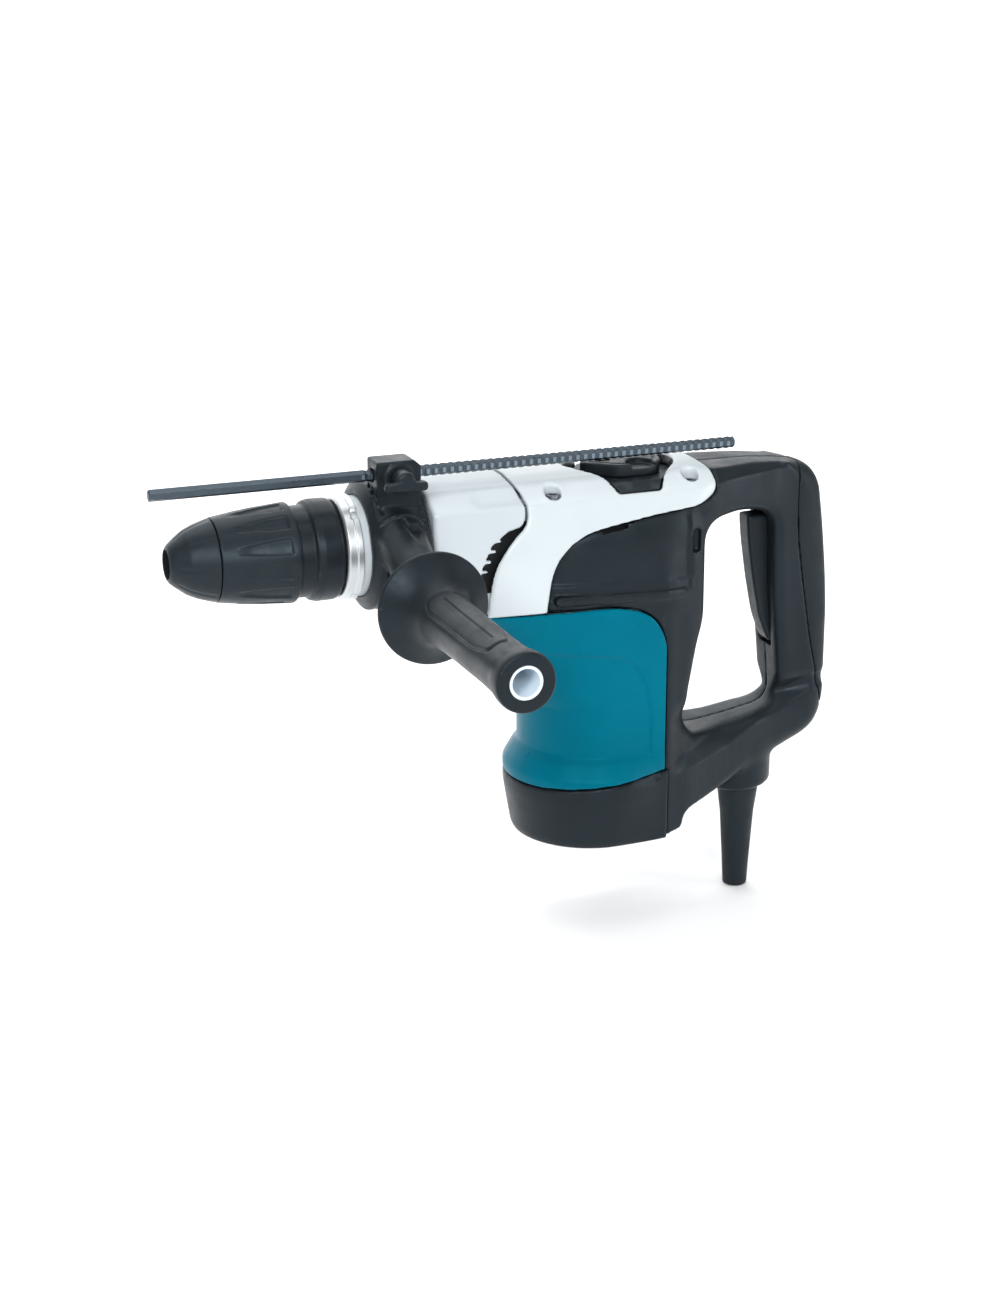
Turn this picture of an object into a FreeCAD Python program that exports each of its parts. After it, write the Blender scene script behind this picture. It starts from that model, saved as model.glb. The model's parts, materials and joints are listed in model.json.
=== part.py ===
import FreeCAD, Part
import math
import os
import re

import Sketcher

# A corded rotary hammer with a side handle.  Millimetres, +Z up.  The origin is the
# middle of the bit opening, the barrel axis is X and runs back into the tool, and the
# side handle points to -Y.  The motor stands upright below the rear of the barrel.

V = FreeCAD.Vector
DOC = FreeCAD.newDocument("rotary_hammer")

# ---------------------------------------------------------------- driving dimensions

DIMENSIONS = {
    # chuck
    "cap_length": 29.5,
    "cap_radius": 27.2,
    "nose_radius": 10.2,
    "shank_radius": 9.05,
    "sleeve_start": 30,
    "sleeve_end": 81.5,
    "sleeve_radius": 32.8,
    "flute_count": 12,
    "ring_start": 90.5,
    "ring_end": 110,
    "ring_radius": 33.4,
    # spindle, hammer and barrel
    "holder_start": 6.3,
    "holder_end": 128,
    "holder_radius": 18,
    "cylinder_bore": 16.05,
    "cylinder_radius": 19.5,
    "cylinder_end": 231,
    "piston_radius": 15.98,
    "piston_pin_x": 196.5,
    "pin_radius": 4,
    "running_gap": 0.05,
    "barrel_radius": 33,
    "barrel_bore": 29,
    "barrel_start": 112,
    # gear housing
    "box_start": 166,
    "box_end": 222,
    "crankcase_end": 326,
    "housing_floor": -46.3,
    "gear_level": -46,
    "shaft_foot": -45.8,
    # drive
    "gear_module": 1,
    "pinion_teeth": 9,
    "crank_teeth": 56,
    "idler_teeth": 44,
    "bevel_teeth": 42,
    "crank_x": 259.5,
    "crank_throw": 13,
    "idler_x": 209.5,
    "motor_x": 292,
    "motor_space": 43,
    # casing
    "wall": 3,
    "seam_gap": 0.4,
    "motor_radius": 50.5,
    "base_radius": 59,
    "base_bottom": -218,
    "seam_height": -46.5,
    "body_half_width": 50,
    # side handle
    "clamp_x": 145,
    "clamp_radius": 43,
    "clamp_gap": 0.25,
    "neck_root_radius": 17,
    "neck_end_radius": 13.5,
    "wing_x": 147,
    "grip_x": 139.8,
    "grip_height": -12.6,
    "flange_y": -115,
    "flange_radius": 36.2,
    "grip_radius": 16.6,
    "grip_end": 150.7,
    "liner_radius": 10.4,
    "rod_y": -17.6,
    "rod_z": 50.5,
    "rod_start": -14,
    "rod_length": 403,
    "rod_radius": 4,
    # rear handle
    "trigger_half_width": 8,
    "trigger_pivot_x": 431,
    "trigger_pivot_z": -95,
    "pivot_radius": 1.95,
    "lever_x": 318,
    "lever_radius": 23,
    "lever_floor": 34.5,
    "lever_top": 42,
    "cord_x": 409,
    "cord_radius": 4.2,
    "guard_collar_radius": 7.9,
}

SHEET = DOC.addObject("Spreadsheet::Sheet", "Dims")
for row, (alias, size) in enumerate(DIMENSIONS.items(), start=1):
    SHEET.set("A%d" % row, alias)
    SHEET.set("B%d" % row, str(size))
    SHEET.setAlias("B%d" % row, alias)
DOC.recompute()

ALIAS = re.compile(r"\b(%s)\b" % "|".join(sorted(DIMENSIONS, key=len, reverse=True)))
NAME_COUNT = {}
SUB_PARTS = []


def formula(text):
    """The sheet form of a size such as 'ring_end - 2'."""
    return ALIAS.sub(r"Dims.\1", str(text))


def amount(size):
    """The number that a size, or a formula over the sheet, stands for."""
    if not isinstance(size, str):
        return float(size)
    terms = {alias: float(SHEET.get(alias)) for alias in ALIAS.findall(size)}
    filled = ALIAS.sub(lambda found: "(%r)" % terms[found.group(1)], size)
    return float(FreeCAD.Units.Quantity(filled).Value)


def unique(name):
    NAME_COUNT[name] = NAME_COUNT.get(name, 0) + 1
    return "%s_%d" % (name, NAME_COUNT[name])


def drive(item, **sizes):
    """Binds properties of an object to formulas over the sheet."""
    for name, size in sizes.items():
        item.setExpression(name, formula(size))
    return item


def place(x=0, y=0, z=0, axis=(0, 0, 1), turn=0):
    at = V(amount(x), amount(y), amount(z))
    return FreeCAD.Placement(at, FreeCAD.Rotation(V(*axis), turn))


def sub_part(item, label, at=None):
    """Marks an object as a finished piece, with the label that names its file."""
    item.Label = label
    if at is not None:
        item.Placement = at
    SUB_PARTS.append(item)
    return item


# ------------------------------------------------------------------- building blocks

def origin_plane(body, role):
    return [item for item in body.Origin.OriginFeatures if item.Role == role][0]


def outline_sketch(body, role, points):
    """A closed outline of straight lines whose corners are bound to the sheet."""
    sketch = body.newObject("Sketcher::SketchObject", unique("Outline"))
    sketch.AttachmentSupport = (origin_plane(body, role), [""])
    sketch.MapMode = "FlatFace"
    corners = [V(amount(across), amount(up), 0) for across, up in points]
    for index, corner in enumerate(corners):
        following = corners[(index + 1) % len(corners)]
        sketch.addGeometry(Part.LineSegment(corner, following), False)
    for index in range(len(corners)):
        following = (index + 1) % len(corners)
        sketch.addConstraint(Sketcher.Constraint("Coincident", index, 2, following, 1))
    for index, corner in enumerate(corners):
        for kind, number, size in (
            ("DistanceX", corner.x, points[index][0]),
            ("DistanceY", corner.y, points[index][1]),
        ):
            made = sketch.addConstraint(Sketcher.Constraint(kind, index, 1, number))
            if isinstance(size, str):
                sketch.setExpression("Constraints[%d]" % made, formula(size))
    return sketch


def circle_sketch(body, role, across, up, radius):
    sketch = body.newObject("Sketcher::SketchObject", unique("Circle"))
    sketch.AttachmentSupport = (origin_plane(body, role), [""])
    sketch.MapMode = "FlatFace"
    centre = V(amount(across), amount(up), 0)
    sketch.addGeometry(Part.Circle(centre, V(0, 0, 1), amount(radius)), False)
    bound = sketch.addConstraint(Sketcher.Constraint("Radius", 0, amount(radius)))
    if isinstance(radius, str):
        sketch.setExpression("Constraints[%d]" % bound, formula(radius))
    sketch.addConstraint(Sketcher.Constraint("DistanceX", 0, 3, centre.x))
    sketch.addConstraint(Sketcher.Constraint("DistanceY", 0, 3, centre.y))
    return sketch


def new_body(name):
    return DOC.addObject("PartDesign::Body", unique(name))


def turned(name, profile, upright=False):
    """A body of revolution.  A lying profile is (x, radius), an upright one (radius, z)."""
    body = new_body(name)
    sketch = outline_sketch(body, "XZ_Plane", profile)
    spin = body.newObject("PartDesign::Revolution", unique("Turn"))
    spin.Profile = sketch
    spin.ReferenceAxis = (sketch, ["V_Axis" if upright else "H_Axis"])
    spin.Angle = 360
    return body


def pad(body, sketch, length, both_ways=True):
    block = body.newObject("PartDesign::Pad", unique("Pad"))
    block.Profile = sketch
    if isinstance(length, str):
        block.setExpression("Length", formula(length))
    else:
        block.Length = length
    block.Midplane = both_ways
    return block


def slab(name, points, length, role="XZ_Plane"):
    """An outline given thickness both ways from its plane."""
    body = new_body(name)
    pad(body, outline_sketch(body, role, points), length)
    return body


def rod(name, radius, length, at=None):
    item = DOC.addObject("Part::Cylinder", unique(name))
    drive(item, Radius=radius, Height=length)
    item.Placement = at or place()
    return item


def block(name, x, y, z, length, width, height):
    """A box from its lowest corner and its three sizes."""
    item = DOC.addObject("Part::Box", unique(name))
    drive(item, Length=length, Width=width, Height=height)
    item.Placement = place(x, y, z)
    return item


def joined(name, *items):
    result = DOC.addObject("Part::MultiFuse", unique(name))
    result.Shapes = list(items)
    result.Refine = True
    return result


def shared(name, *items):
    result = DOC.addObject("Part::MultiCommon", unique(name))
    result.Shapes = list(items)
    return result


def without(name, base, *tools):
    """base with every tool cut away."""
    tool = tools[0] if len(tools) == 1 else joined(name + "_tools", *tools)
    result = DOC.addObject("Part::Cut", unique(name))
    result.Base = base
    result.Tool = tool
    return result


def group(name, items):
    """Separate like pieces kept together as one sub-part."""
    result = DOC.addObject("Part::Compound", unique(name))
    result.Links = list(items)
    return result


def turned_copies(name, item, count, axis=(0, 0, 1), first=0):
    """Links to one solid, turned about an axis through the origin in equal steps."""
    links = []
    for index in range(int(count)):
        link = DOC.addObject("App::Link", unique(name))
        link.LinkedObject = item
        link.LinkTransform = True
        link.Placement = place(axis=axis, turn=360 / count * (index + first))
        links.append(link)
    return links


ALONG_X = ((0, 1, 0), 90)
TO_MINUS_Y = ((1, 0, 0), 90)
X_AXIS = (1, 0, 0)


def facing(x, y, z, way):
    axis, turn = way
    return place(x, y, z, axis, turn)


def inset(points, distance):
    """A closed outline moved inwards by distance; a negative distance moves it out."""
    corners = [(amount(across), amount(up)) for across, up in points]
    area = 0
    for index, (x, y) in enumerate(corners):
        next_x, next_y = corners[(index + 1) % len(corners)]
        area += x * next_y - next_x * y
    side = math.copysign(1, area)
    moved = []
    for index, corner in enumerate(corners):
        before, after = corners[index - 1], corners[(index + 1) % len(corners)]
        arriving = unit(before, corner)
        leaving = unit(corner, after)
        normal_x = -(arriving[1] + leaving[1]) * side
        normal_y = (arriving[0] + leaving[0]) * side
        square = normal_x ** 2 + normal_y ** 2
        moved.append((corner[0] + 2 * distance * normal_x / square,
                      corner[1] + 2 * distance * normal_y / square))
    return moved


def unit(start, end):
    length = math.dist(start, end)
    return (end[0] - start[0]) / length, (end[1] - start[1]) / length


def toothed(name, teeth, module, width, bore, height=0.85):
    """A spur gear with thin teeth, so that a pair turns with play between the teeth."""
    pitch_radius = "(%s * %s / 2)" % (teeth, module)
    root = "(%s - 0.95 * %s)" % (pitch_radius, module)
    tip = "(%s + %s * %s)" % (pitch_radius, height, module)
    body = new_body(name)
    pad(body, circle_sketch(body, "XY_Plane", 0, 0, root), width, False)
    tooth = outline_sketch(body, "XY_Plane", [
        ("%s - 0.6 * %s" % (root, module), "-0.62 * %s" % module),
        (tip, "-0.26 * %s" % module),
        (tip, "0.26 * %s" % module),
        ("%s - 0.6 * %s" % (root, module), "0.62 * %s" % module),
    ])
    one_tooth = pad(body, tooth, width, False)
    ring = body.newObject("PartDesign::PolarPattern", unique("Teeth"))
    ring.Originals = [one_tooth]
    ring.Axis = (tooth, ["N_Axis"])
    ring.Angle = 360
    ring.setExpression("Occurrences", formula(teeth))
    body.Tip = ring
    if bore is None:
        return body
    return without(name, body, rod(name + "_bore", bore, width))


# ------------------------------------------------------------------------ the chuck

def nose_cap():
    cap = turned("Cap", [
        (0, "nose_radius"), (1.2, 12.4), (5, 15.6), (12, 20.8), (19, 23.9),
        ("cap_length", "cap_radius"), ("cap_length", 24), (38, 24), (38, 18.3),
        (20, 18.3), (20, 15.2), (6, 15.2), (6, 9.6), (0, 9.6),
    ])
    return sub_part(cap, "nose_cap")


def chuck_sleeve():
    shell = turned("Sleeve", [
        ("sleeve_start", 27.4), (45, 29.7), (60, 31.4), (75, "sleeve_radius - 0.2"),
        ("sleeve_end - 1.5", "sleeve_radius"), ("sleeve_end", "sleeve_radius - 1.2"),
        ("sleeve_end", 30.6), (65, 30.3), (65, 19), (62, 19), (62, 25.5), ("sleeve_start", 25.5),
    ])
    flute = slab("Flute", [(40, 30.2), (44, 28.7), (72, 31.7), (76, 34), (60, 38), (42, 38)], 7.5)
    flutes = turned_copies("FluteLink", flute, amount("flute_count"), X_AXIS, first=0.5)
    return sub_part(without("FlutedSleeve", shell, group("Flutes", flutes)), "chuck_sleeve")


def chuck_ring():
    ring = turned("Ring", [
        (78, 30), ("ring_start", 30), ("ring_start + 2", 32.6), ("ring_start + 4.5", "ring_radius"),
        ("ring_end - 3", "ring_radius - 0.3"), ("ring_end", "ring_radius - 2.5"),
        ("ring_end", 18.1), (104, 18.1), (104, 26), (78, 26),
    ])
    return sub_part(ring, "chuck_ring")


SPRING_START = 66.5
SPRING_LENGTH = 36
SPRING_PITCH = 6
SPRING_RADIUS = 21.6
SPRING_WIRE = 2


def chuck_spring():
    """A spring of square wire, which meshes closely where round wire doesn't."""
    turns = DOC.addObject("Part::Helix", unique("SpringPath"))
    turns.Pitch = SPRING_PITCH
    turns.Height = SPRING_LENGTH
    turns.Radius = SPRING_RADIUS
    section = DOC.addObject("Part::Plane", unique("SpringWire"))
    section.Length = SPRING_WIRE
    section.Width = SPRING_WIRE
    section.Placement = FreeCAD.Placement(
        V(SPRING_RADIUS - SPRING_WIRE / 2, 0, -SPRING_WIRE / 2), FreeCAD.Rotation(V(1, 0, 0), 90))
    wire = DOC.addObject("Part::Sweep", unique("Spring"))
    wire.Sections = [section]
    wire.Spine = (turns, [])
    wire.Solid = True
    wire.Frenet = True
    return sub_part(wire, "chuck_spring", facing(SPRING_START, 0, 0, ALONG_X))


def locking_rollers():
    rollers = []
    for side in (-1, 1):
        rollers.append(rod("Roller", 3.4, 16, facing(48, 0, 12.5 * side, ALONG_X)))
    return sub_part(group("Rollers", rollers), "locking_rollers")


def tool_holder():
    holder = turned("Holder", [
        ("holder_start", "shank_radius"), ("holder_start", 15), (20.3, 15), (20.3, 17.6),
        (40, 17.6), (40, "holder_radius"), (116, "holder_radius"), (116, 20), ("holder_end", 20),
        ("holder_end", 12), (97, 12), (97, "shank_radius"), (68, "shank_radius"), (68, 9.6),
        (46, 9.6), (46, "shank_radius"),
    ])
    windows = []
    for side in (-1, 1):
        windows.append(block("Window", 47.5, -3.7, 15.2 * side - 6.5, 17, 7.4, 13))
    return sub_part(without("SlottedHolder", holder, *windows), "tool_holder")


# ------------------------------------------------------------- the hammer mechanism

def spindle_cylinder():
    tube = turned("Cylinder", [
        ("holder_end", 12.2), ("holder_end", "cylinder_radius"), ("cylinder_end", "cylinder_radius"),
        ("cylinder_end", "cylinder_bore"), ("holder_end + 3", "cylinder_bore"),
        ("holder_end + 3", 12.2),
    ])
    return sub_part(tube, "spindle_cylinder")


def impact_bolt():
    bolt = turned("Bolt", [
        (88, 0), (88, 7.5), (89.5, "shank_radius - running_gap"), (98, "shank_radius - running_gap"),
        (98, "12 - running_gap"), (117, "12 - running_gap"), (119, 10), (119, 0),
    ])
    return sub_part(bolt, "impact_bolt")


def striker():
    ram = turned("Ram", [
        (138, 0), (138, 6), (139, 7), (146, 7), (146, "cylinder_bore - running_gap"),
        (168, "cylinder_bore - running_gap"), (168, 0),
    ])
    return sub_part(ram, "striker")


def piston():
    crown = turned("Piston", [
        ("piston_pin_x - 18", 0), ("piston_pin_x - 18", "piston_radius"),
        ("piston_pin_x + 8", "piston_radius"), ("piston_pin_x + 8", 0),
    ])
    slot = block("RodSlot", "piston_pin_x - 9.5", -11.5, -5.4, 18, 23, 10.8)
    hole = rod("PinHole", "pin_radius", 24, place("piston_pin_x", 0, -12))
    return sub_part(without("DrilledPiston", crown, slot, hole), "piston")


def piston_pin():
    return sub_part(rod("Pin", "pin_radius", 22, place("piston_pin_x", 0, -11)), "piston_pin")


def connecting_rod():
    crank_pin_x = "crank_x - crank_throw"
    small_eye = rod("SmallEye", 8, 10, place("piston_pin_x", 0, -5))
    big_eye = rod("BigEye", 10.5, 10, place(crank_pin_x, 0, -5))
    shank = block("Shank", "piston_pin_x", -4, -4, "crank_x - crank_throw - piston_pin_x", 8, 8)
    small_bore = rod("SmallBore", "pin_radius + running_gap", 12, place("piston_pin_x", 0, -6))
    big_bore = rod("BigBore", 5, 12, place(crank_pin_x, 0, -6))
    rod_body = without("Rod", joined("RodBlank", small_eye, big_eye, shank), small_bore, big_bore)
    return sub_part(rod_body, "connecting_rod")


def crank_pin():
    return sub_part(rod("CrankPin", 5, 14, place("crank_x - crank_throw", 0, -6)), "crank_pin")


def crankshaft():
    shaft = turned("Crankshaft", [
        (0, "shaft_foot"), (7, "shaft_foot"), (7, -38), (8, -38), (8, -14), (20, -14),
        (20, -6.4), (0, -6.4),
    ], upright=True)
    return sub_part(shaft, "crankshaft", place("crank_x"))


def crank_gear():
    wheel = toothed("CrankGear", "crank_teeth", "gear_module", 6, "7")
    return sub_part(wheel, "crank_gear", place("crank_x", 0, "gear_level"))


def idler_gear():
    wheel = toothed("IdlerGear", "idler_teeth", "gear_module", 6, "5")
    return sub_part(wheel, "intermediate_gear",
                    place("idler_x", 0, "gear_level", turn=180 / amount("idler_teeth")))


def bevel_pinion_shaft():
    """The upright shaft below the cylinder, with nine small teeth at its top."""
    shaft = turned("PinionShaft", [
        (0, "shaft_foot"), (5, "shaft_foot"), (5, -31), (4.4, -31), (4.4, -22), (0, -22),
    ], upright=True)
    tooth = block("PinionTooth", 3.5, -0.55, -30, 2.7, 1.1, 6.8)
    teeth = turned_copies("ToothLink", tooth, amount("pinion_teeth"))
    pinion = joined("ToothedShaft", shaft, *teeth)
    return sub_part(pinion, "bevel_pinion_shaft", place("idler_x"))


def bevel_ring_gear():
    """The crown wheel on the cylinder: a disc with a ring of teeth on its rear face."""
    disc = turned("Crown", [
        ("idler_x - 22", "cylinder_radius"), ("idler_x - 22", 24), ("idler_x - 15", 28.5),
        ("idler_x - 8.6", 28.5), ("idler_x - 8.6", "cylinder_radius"),
    ])
    tooth = block("CrownTooth", "idler_x - 9", -0.55, 23.2, 3.7, 1.1, 5)
    teeth = turned_copies("CrownLink", tooth, amount("bevel_teeth"), X_AXIS)
    return sub_part(joined("CrownWheel", disc, *teeth), "bevel_ring_gear")


BALL_COUNT = 8


def bearing(label, x, low, inner, outer, width):
    """A ball bearing on an upright shaft: two races and the balls between them."""
    middle = (amount(inner) + amount(outer)) / 2
    ball = (amount(outer) - amount(inner)) * 0.24
    inner_race = turned("InnerRace", [
        (inner, 0), (middle - 0.5 * ball, 0), (middle - 0.5 * ball, width), (inner, width),
    ], upright=True)
    outer_race = turned("OuterRace", [
        (middle + 0.5 * ball, 0), (outer, 0), (outer, width), (middle + 0.5 * ball, width),
    ], upright=True)
    balls = []
    for index in range(BALL_COUNT):
        angle = math.tau * index / BALL_COUNT
        sphere = DOC.addObject("Part::Sphere", unique("Ball"))
        sphere.Radius = ball * 0.49
        sphere.Placement = place(middle * math.cos(angle), middle * math.sin(angle), width / 2)
        balls.append(sphere)
    return sub_part(group("Bearing", [inner_race, outer_race] + balls), label, place(x, 0, low))


def oil_seal():
    ring = turned("Seal", [
        (113, "holder_radius + 0.1"), (115.6, "holder_radius + 0.1"), (115.6, "barrel_bore"),
        (113, "barrel_bore"),
    ])
    return sub_part(ring, "oil_seal")


def spindle_bearing():
    ring = turned("NeedleCage", [
        (134, "cylinder_radius + running_gap"), (150, "cylinder_radius + running_gap"),
        (150, "barrel_bore"), (134, "barrel_bore"),
    ])
    return sub_part(ring, "spindle_bearing")


# ------------------------------------------------------------------ the gear housing

BOX_SECTION = [
    (-37.5, "housing_floor"), (-40.8, -20), (-40.8, 5), (-39.2, 26.5), (-25, 36.5), (-9, 40.5),
    (9, 40.5), (25, 36.5), (39.2, 26.5), (40.8, 5), (40.8, -20), (37.5, "housing_floor"),
]
COVER_SCREWS = [(251.4, -31.8), (251.4, 31.8), (352, -28), (352, 28)]
FIN_GAP_HEIGHTS = (-6, -13, -20)


def gear_housing():
    barrel = rod("Barrel", "barrel_radius", "box_start + 4 - barrel_start",
                 facing("barrel_start", 0, 0, ALONG_X))
    front = slab("Box", BOX_SECTION, "box_end - box_start", "YZ_Plane")
    front.Placement = place("(box_start + box_end) / 2")
    rear = block("Crankcase", "box_end - 1", -34, "housing_floor", "crankcase_end - box_end + 1",
                 68, "24 - housing_floor")
    lugs = []
    for side in (-1, 1):
        lugs.append(block("CoverLug", "crankcase_end - 1", 29 * side - 5, 16.6, 35, 10, 7.4))
    fins = []
    for height in FIN_GAP_HEIGHTS:
        for side in (-1, 1):
            fins.append(block("FinGap", 196, 41 * side - 2, height, 12, 4, 2.4))
    upper_room = block("UpperRoom", "box_start + 4", -30, -20, "crankcase_end - box_start - 8",
                       60, 49)
    front_room = block("FrontRoom", "box_start + 4", -30, -32, 56, 60, 51)
    gear_room = block("GearRoom", "box_start + 4", -31.5, "housing_floor - 1",
                      "crankcase_end - box_start - 8", 63, 8)
    bore = rod("BarrelBore", "barrel_bore", 70, facing(108, 0, 0, ALONG_X))
    crank_bore = rod("CrankBore", 16, 60, place("crank_x", 0, -50))
    idler_bore = rod("IdlerBore", "5 + running_gap", 30, place("idler_x", 0, -60))
    screw_holes = []
    for x, y in COVER_SCREWS:
        screw_holes.append(rod("CoverScrewHole", 2.5, 30, place(x, y, 10)))
    lever_room = rod("LeverRoom", 9, 30, place("lever_x", 0, 20))
    cast = joined("HousingBlank", barrel, front, rear, *lugs)
    tools = [upper_room, front_room, gear_room, bore, crank_bore, idler_bore, lever_room]
    return sub_part(without("Housing", cast, *tools, *fins, *screw_holes), "gear_housing")


def barrel_ring():
    ring = turned("BarrelRing", [
        ("barrel_start - 1.2", 22), ("barrel_start - 1.2", "barrel_radius - 0.6"),
        ("barrel_start", "barrel_radius + 0.9"), ("barrel_start + 5.5", "barrel_radius + 0.9"),
        ("barrel_start + 5.5", "barrel_radius + 1.8"), ("barrel_start + 9", "barrel_radius + 1.8"),
        ("barrel_start + 9", "barrel_radius"), ("barrel_start", "barrel_radius"),
        ("barrel_start", 22),
    ])
    return sub_part(ring, "barrel_ring")


def crank_cap():
    plate = block("CapPlate", "box_end + 1.5", -29, 24, 100, 58, 3.8)
    spindle_hole = rod("CapHole", 6.3, 20, place("lever_x", 0, 15))
    notches = []
    for x, y in COVER_SCREWS[:2]:
        notches.append(rod("CapNotch", 7.9, 20, place(x, y, 15)))
    return sub_part(without("Cap", plate, spindle_hole, *notches), "crank_cap")


# ------------------------------------------------------------------------ the casing

ROOF = [
    ("-body_half_width", -230), ("-body_half_width", "seam_height"), (-46.5, -5), (-40, 27.5),
    (-25, 37), (-9, 41), (9, 41), (25, 37), (40, 27.5), (46.5, -5),
    ("body_half_width", "seam_height"), ("body_half_width", -230),
]

PLAN_EDGE = [
    (200, 44.5), (235, 48), (290, 50), (330, 50), (350, 43.5), (369, 35.5), (385, 31),
    (400, 26.5), (425, 20), (440, 18), (461, 18), (468, 13), (470.5, 5),
]
PLAN = [(x, -y) for x, y in PLAN_EDGE] + [(x, y) for x, y in reversed(PLAN_EDGE)]

COVER_SIDE = [
    (223.5, 46), (352, 46), (363, 40), (369, 35), (369, 21), (357, 15), (318, 11), (294, 7.6),
    (277, 5), (268, 1.6), (258, -4), (251, -12), (246, -22), (242.5, "seam_height"),
    (202, "seam_height"), (205, -18), (211, -6.5), (220, 5.5), (231, 14), (231, 28),
]

HANDLE_SIDE = [
    (242.5, "seam_height"), (246, -22), (251, -12), (258, -4), (268, 1.6), (277, 5), (294, 7.6),
    (318, 11), (357, 15), (369, 21), (369, 35.8), (406, 35.5), (434, 33), (450, 29.5),
    (461, 17), (465, -12), (468.5, -45), (470.5, -75), (470.5, -142), (466, -159), (456, -169),
    (432, -179), (385, -195), (352, -204), (346, -207), (343.5, -214), (331, -215.5), (331, -166),
    (328.5, -166), (328.5, -74), (321, -59), (311, -51.5), (298, -48), (284, "seam_height"),
]

HANDLE_HOLE = [
    (362.5, -8), (370, 1), (392, 4), (412, 1), (421, -6), (423, -60), (428, -110), (430, -135),
    (424, -143.5), (400, -148), (372, -152), (358, -151), (349, -138), (349, -118), (357, -82),
    (362.5, -66),
]

LEVER_OPENING = [
    (271, 0), (277, -10), (288, -20), (294, -30), (301, -44), (322, -44), (334, -26), (347, -12),
    (350, 0), (347, 12), (334, 26), (322, 44), (301, 44), (294, 30), (288, 20), (277, 10),
]

PAD_REGION = [(443, 40), (445, -10), (447, -48), (457, -96), (466, -150), (490, -150), (490, 40)]

# lengths that only have to be longer than the casing is wide, tall or long
WIDE = 130
TALL = 600
LONG = 700
CASING_MIDDLE = 300
HANDLE_WALL = 4.5
PAD_DEPTH = 2.4
HANDLE_SCREWS = [(385, 20), (448, 12), (447, -155), (400, -170), (345, -178)]


def casing(name, side_outline, depth=0):
    """The solid shared by a side outline and the casing's plan and section, set in by depth."""
    side = slab(name + "_side", side_outline, WIDE)
    plan = slab(name + "_plan", inset(PLAN, depth), TALL, "XY_Plane")
    roof = slab(name + "_roof", inset(ROOF, depth), LONG, "YZ_Plane")
    roof.Placement = place(CASING_MIDDLE)
    return shared(name, side, plan, roof)


def housing_cover():
    outer = casing("Cover", inset(COVER_SIDE, amount("seam_gap") / 2))
    wall = amount("wall")
    inner_edge = [(150, 42.2), (201, 42.2)] + [(x, y - wall) for x, y in PLAN_EDGE[1:6]]
    open_plan = [(x, -y) for x, y in inner_edge] + list(reversed(inner_edge))
    plan = slab("CoverRoomPlan", open_plan, TALL, "XY_Plane")
    roof = slab("CoverRoomRoof", inset(ROOF, wall), LONG, "YZ_Plane")
    roof.Placement = place(CASING_MIDDLE)
    room = shared("CoverRoom", plan, roof)
    opening = slab("LeverOpening", LEVER_OPENING, 40, "XY_Plane")
    opening.Placement = place(0, 0, 48)
    posts = []
    cuts = []
    for x, y in COVER_SCREWS:
        post = rod("Post", 7.5, 30, place(x, y, 24.2))
        posts.append(shared("ScrewPost", post, casing("PostLimit", COVER_SIDE)))
        cuts.append(rod("ScrewWell", 6, 30, place(x, y, 27)))
        cuts.append(rod("ScrewHole", 2.6, 30, place(x, y, 10)))
    shell = joined("CoverShell", without("CoverWalls", outer, room), *posts)
    return sub_part(without("CoverDone", shell, opening, *cuts), "housing_cover")


def cover_screws():
    screws = []
    for x, y in COVER_SCREWS:
        head = rod("ScrewHead", 4.6, 3, place(x, y, 27))
        shank = rod("ScrewShank", 2.5, 12, place(x, y, 15.5))
        socket = rod("ScrewSocket", 2.2, 3, place(x, y, 28.4))
        screws.append(without("CoverScrew", joined("ScrewBlank", head, shank), socket))
    return sub_part(group("CoverScrews", screws), "cover_screws")


def handle_shell():
    """Both halves of the rear handle and side panels, before they are parted."""
    outer = casing("HandleOuter", inset(HANDLE_SIDE, amount("seam_gap") / 2))
    whole = without("HandleBlock", outer, slab("HandleGap", HANDLE_HOLE, WIDE))
    hollow = without("HandleHollow", casing("HandleInner", inset(HANDLE_SIDE, HANDLE_WALL),
                                            HANDLE_WALL),
                     slab("HandleGapWall", inset(HANDLE_HOLE, -HANDLE_WALL), WIDE))
    pad_bed = without("PadBed", slab("PadBedRegion", PAD_REGION, WIDE),
                      casing("PadBedCore", inset(HANDLE_SIDE, PAD_DEPTH + 0.1), PAD_DEPTH + 0.1))
    gear_space = block("GearSpace", 220, -38, "seam_height - 5", 112, 76, 80)
    motor_space = rod("MotorSpace", "motor_space", WIDE, place("motor_x", 0, -180))
    trigger_slot = block("TriggerSlot", 400, "-trigger_half_width - 0.5", -101.5, 42,
                         "2 * trigger_half_width + 1", 101)
    pivot_hole = rod("PivotHole", "pivot_radius + running_gap", 26.4,
                     facing("trigger_pivot_x", 13.2, "trigger_pivot_z", TO_MINUS_Y))
    cord_hole = rod("CordHole", "guard_collar_radius + 0.3", 40, place("cord_x", 0, -215))
    posts = []
    cuts = []
    for x, z in HANDLE_SCREWS:
        post = rod("HandlePost", 5.5, 100, facing(x, 50, z, TO_MINUS_Y))
        posts.append(shared("HandlePostCut", post, casing("HandlePostLimit", HANDLE_SIDE)))
        cuts.append(rod("HandleScrewHole", 2.1, 24, facing(x, 14, z, TO_MINUS_Y)))
        cuts.append(rod("HandleScrewWell", 4.6, 60, facing(x, 70, z, TO_MINUS_Y)))
    shell = joined("HandleWithPosts", without("HandleWalls", whole, hollow), *posts)
    return without("HandleWhole", shell, pad_bed, gear_space, motor_space, trigger_slot, pivot_hole,
                   cord_hole, *cuts)


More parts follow.
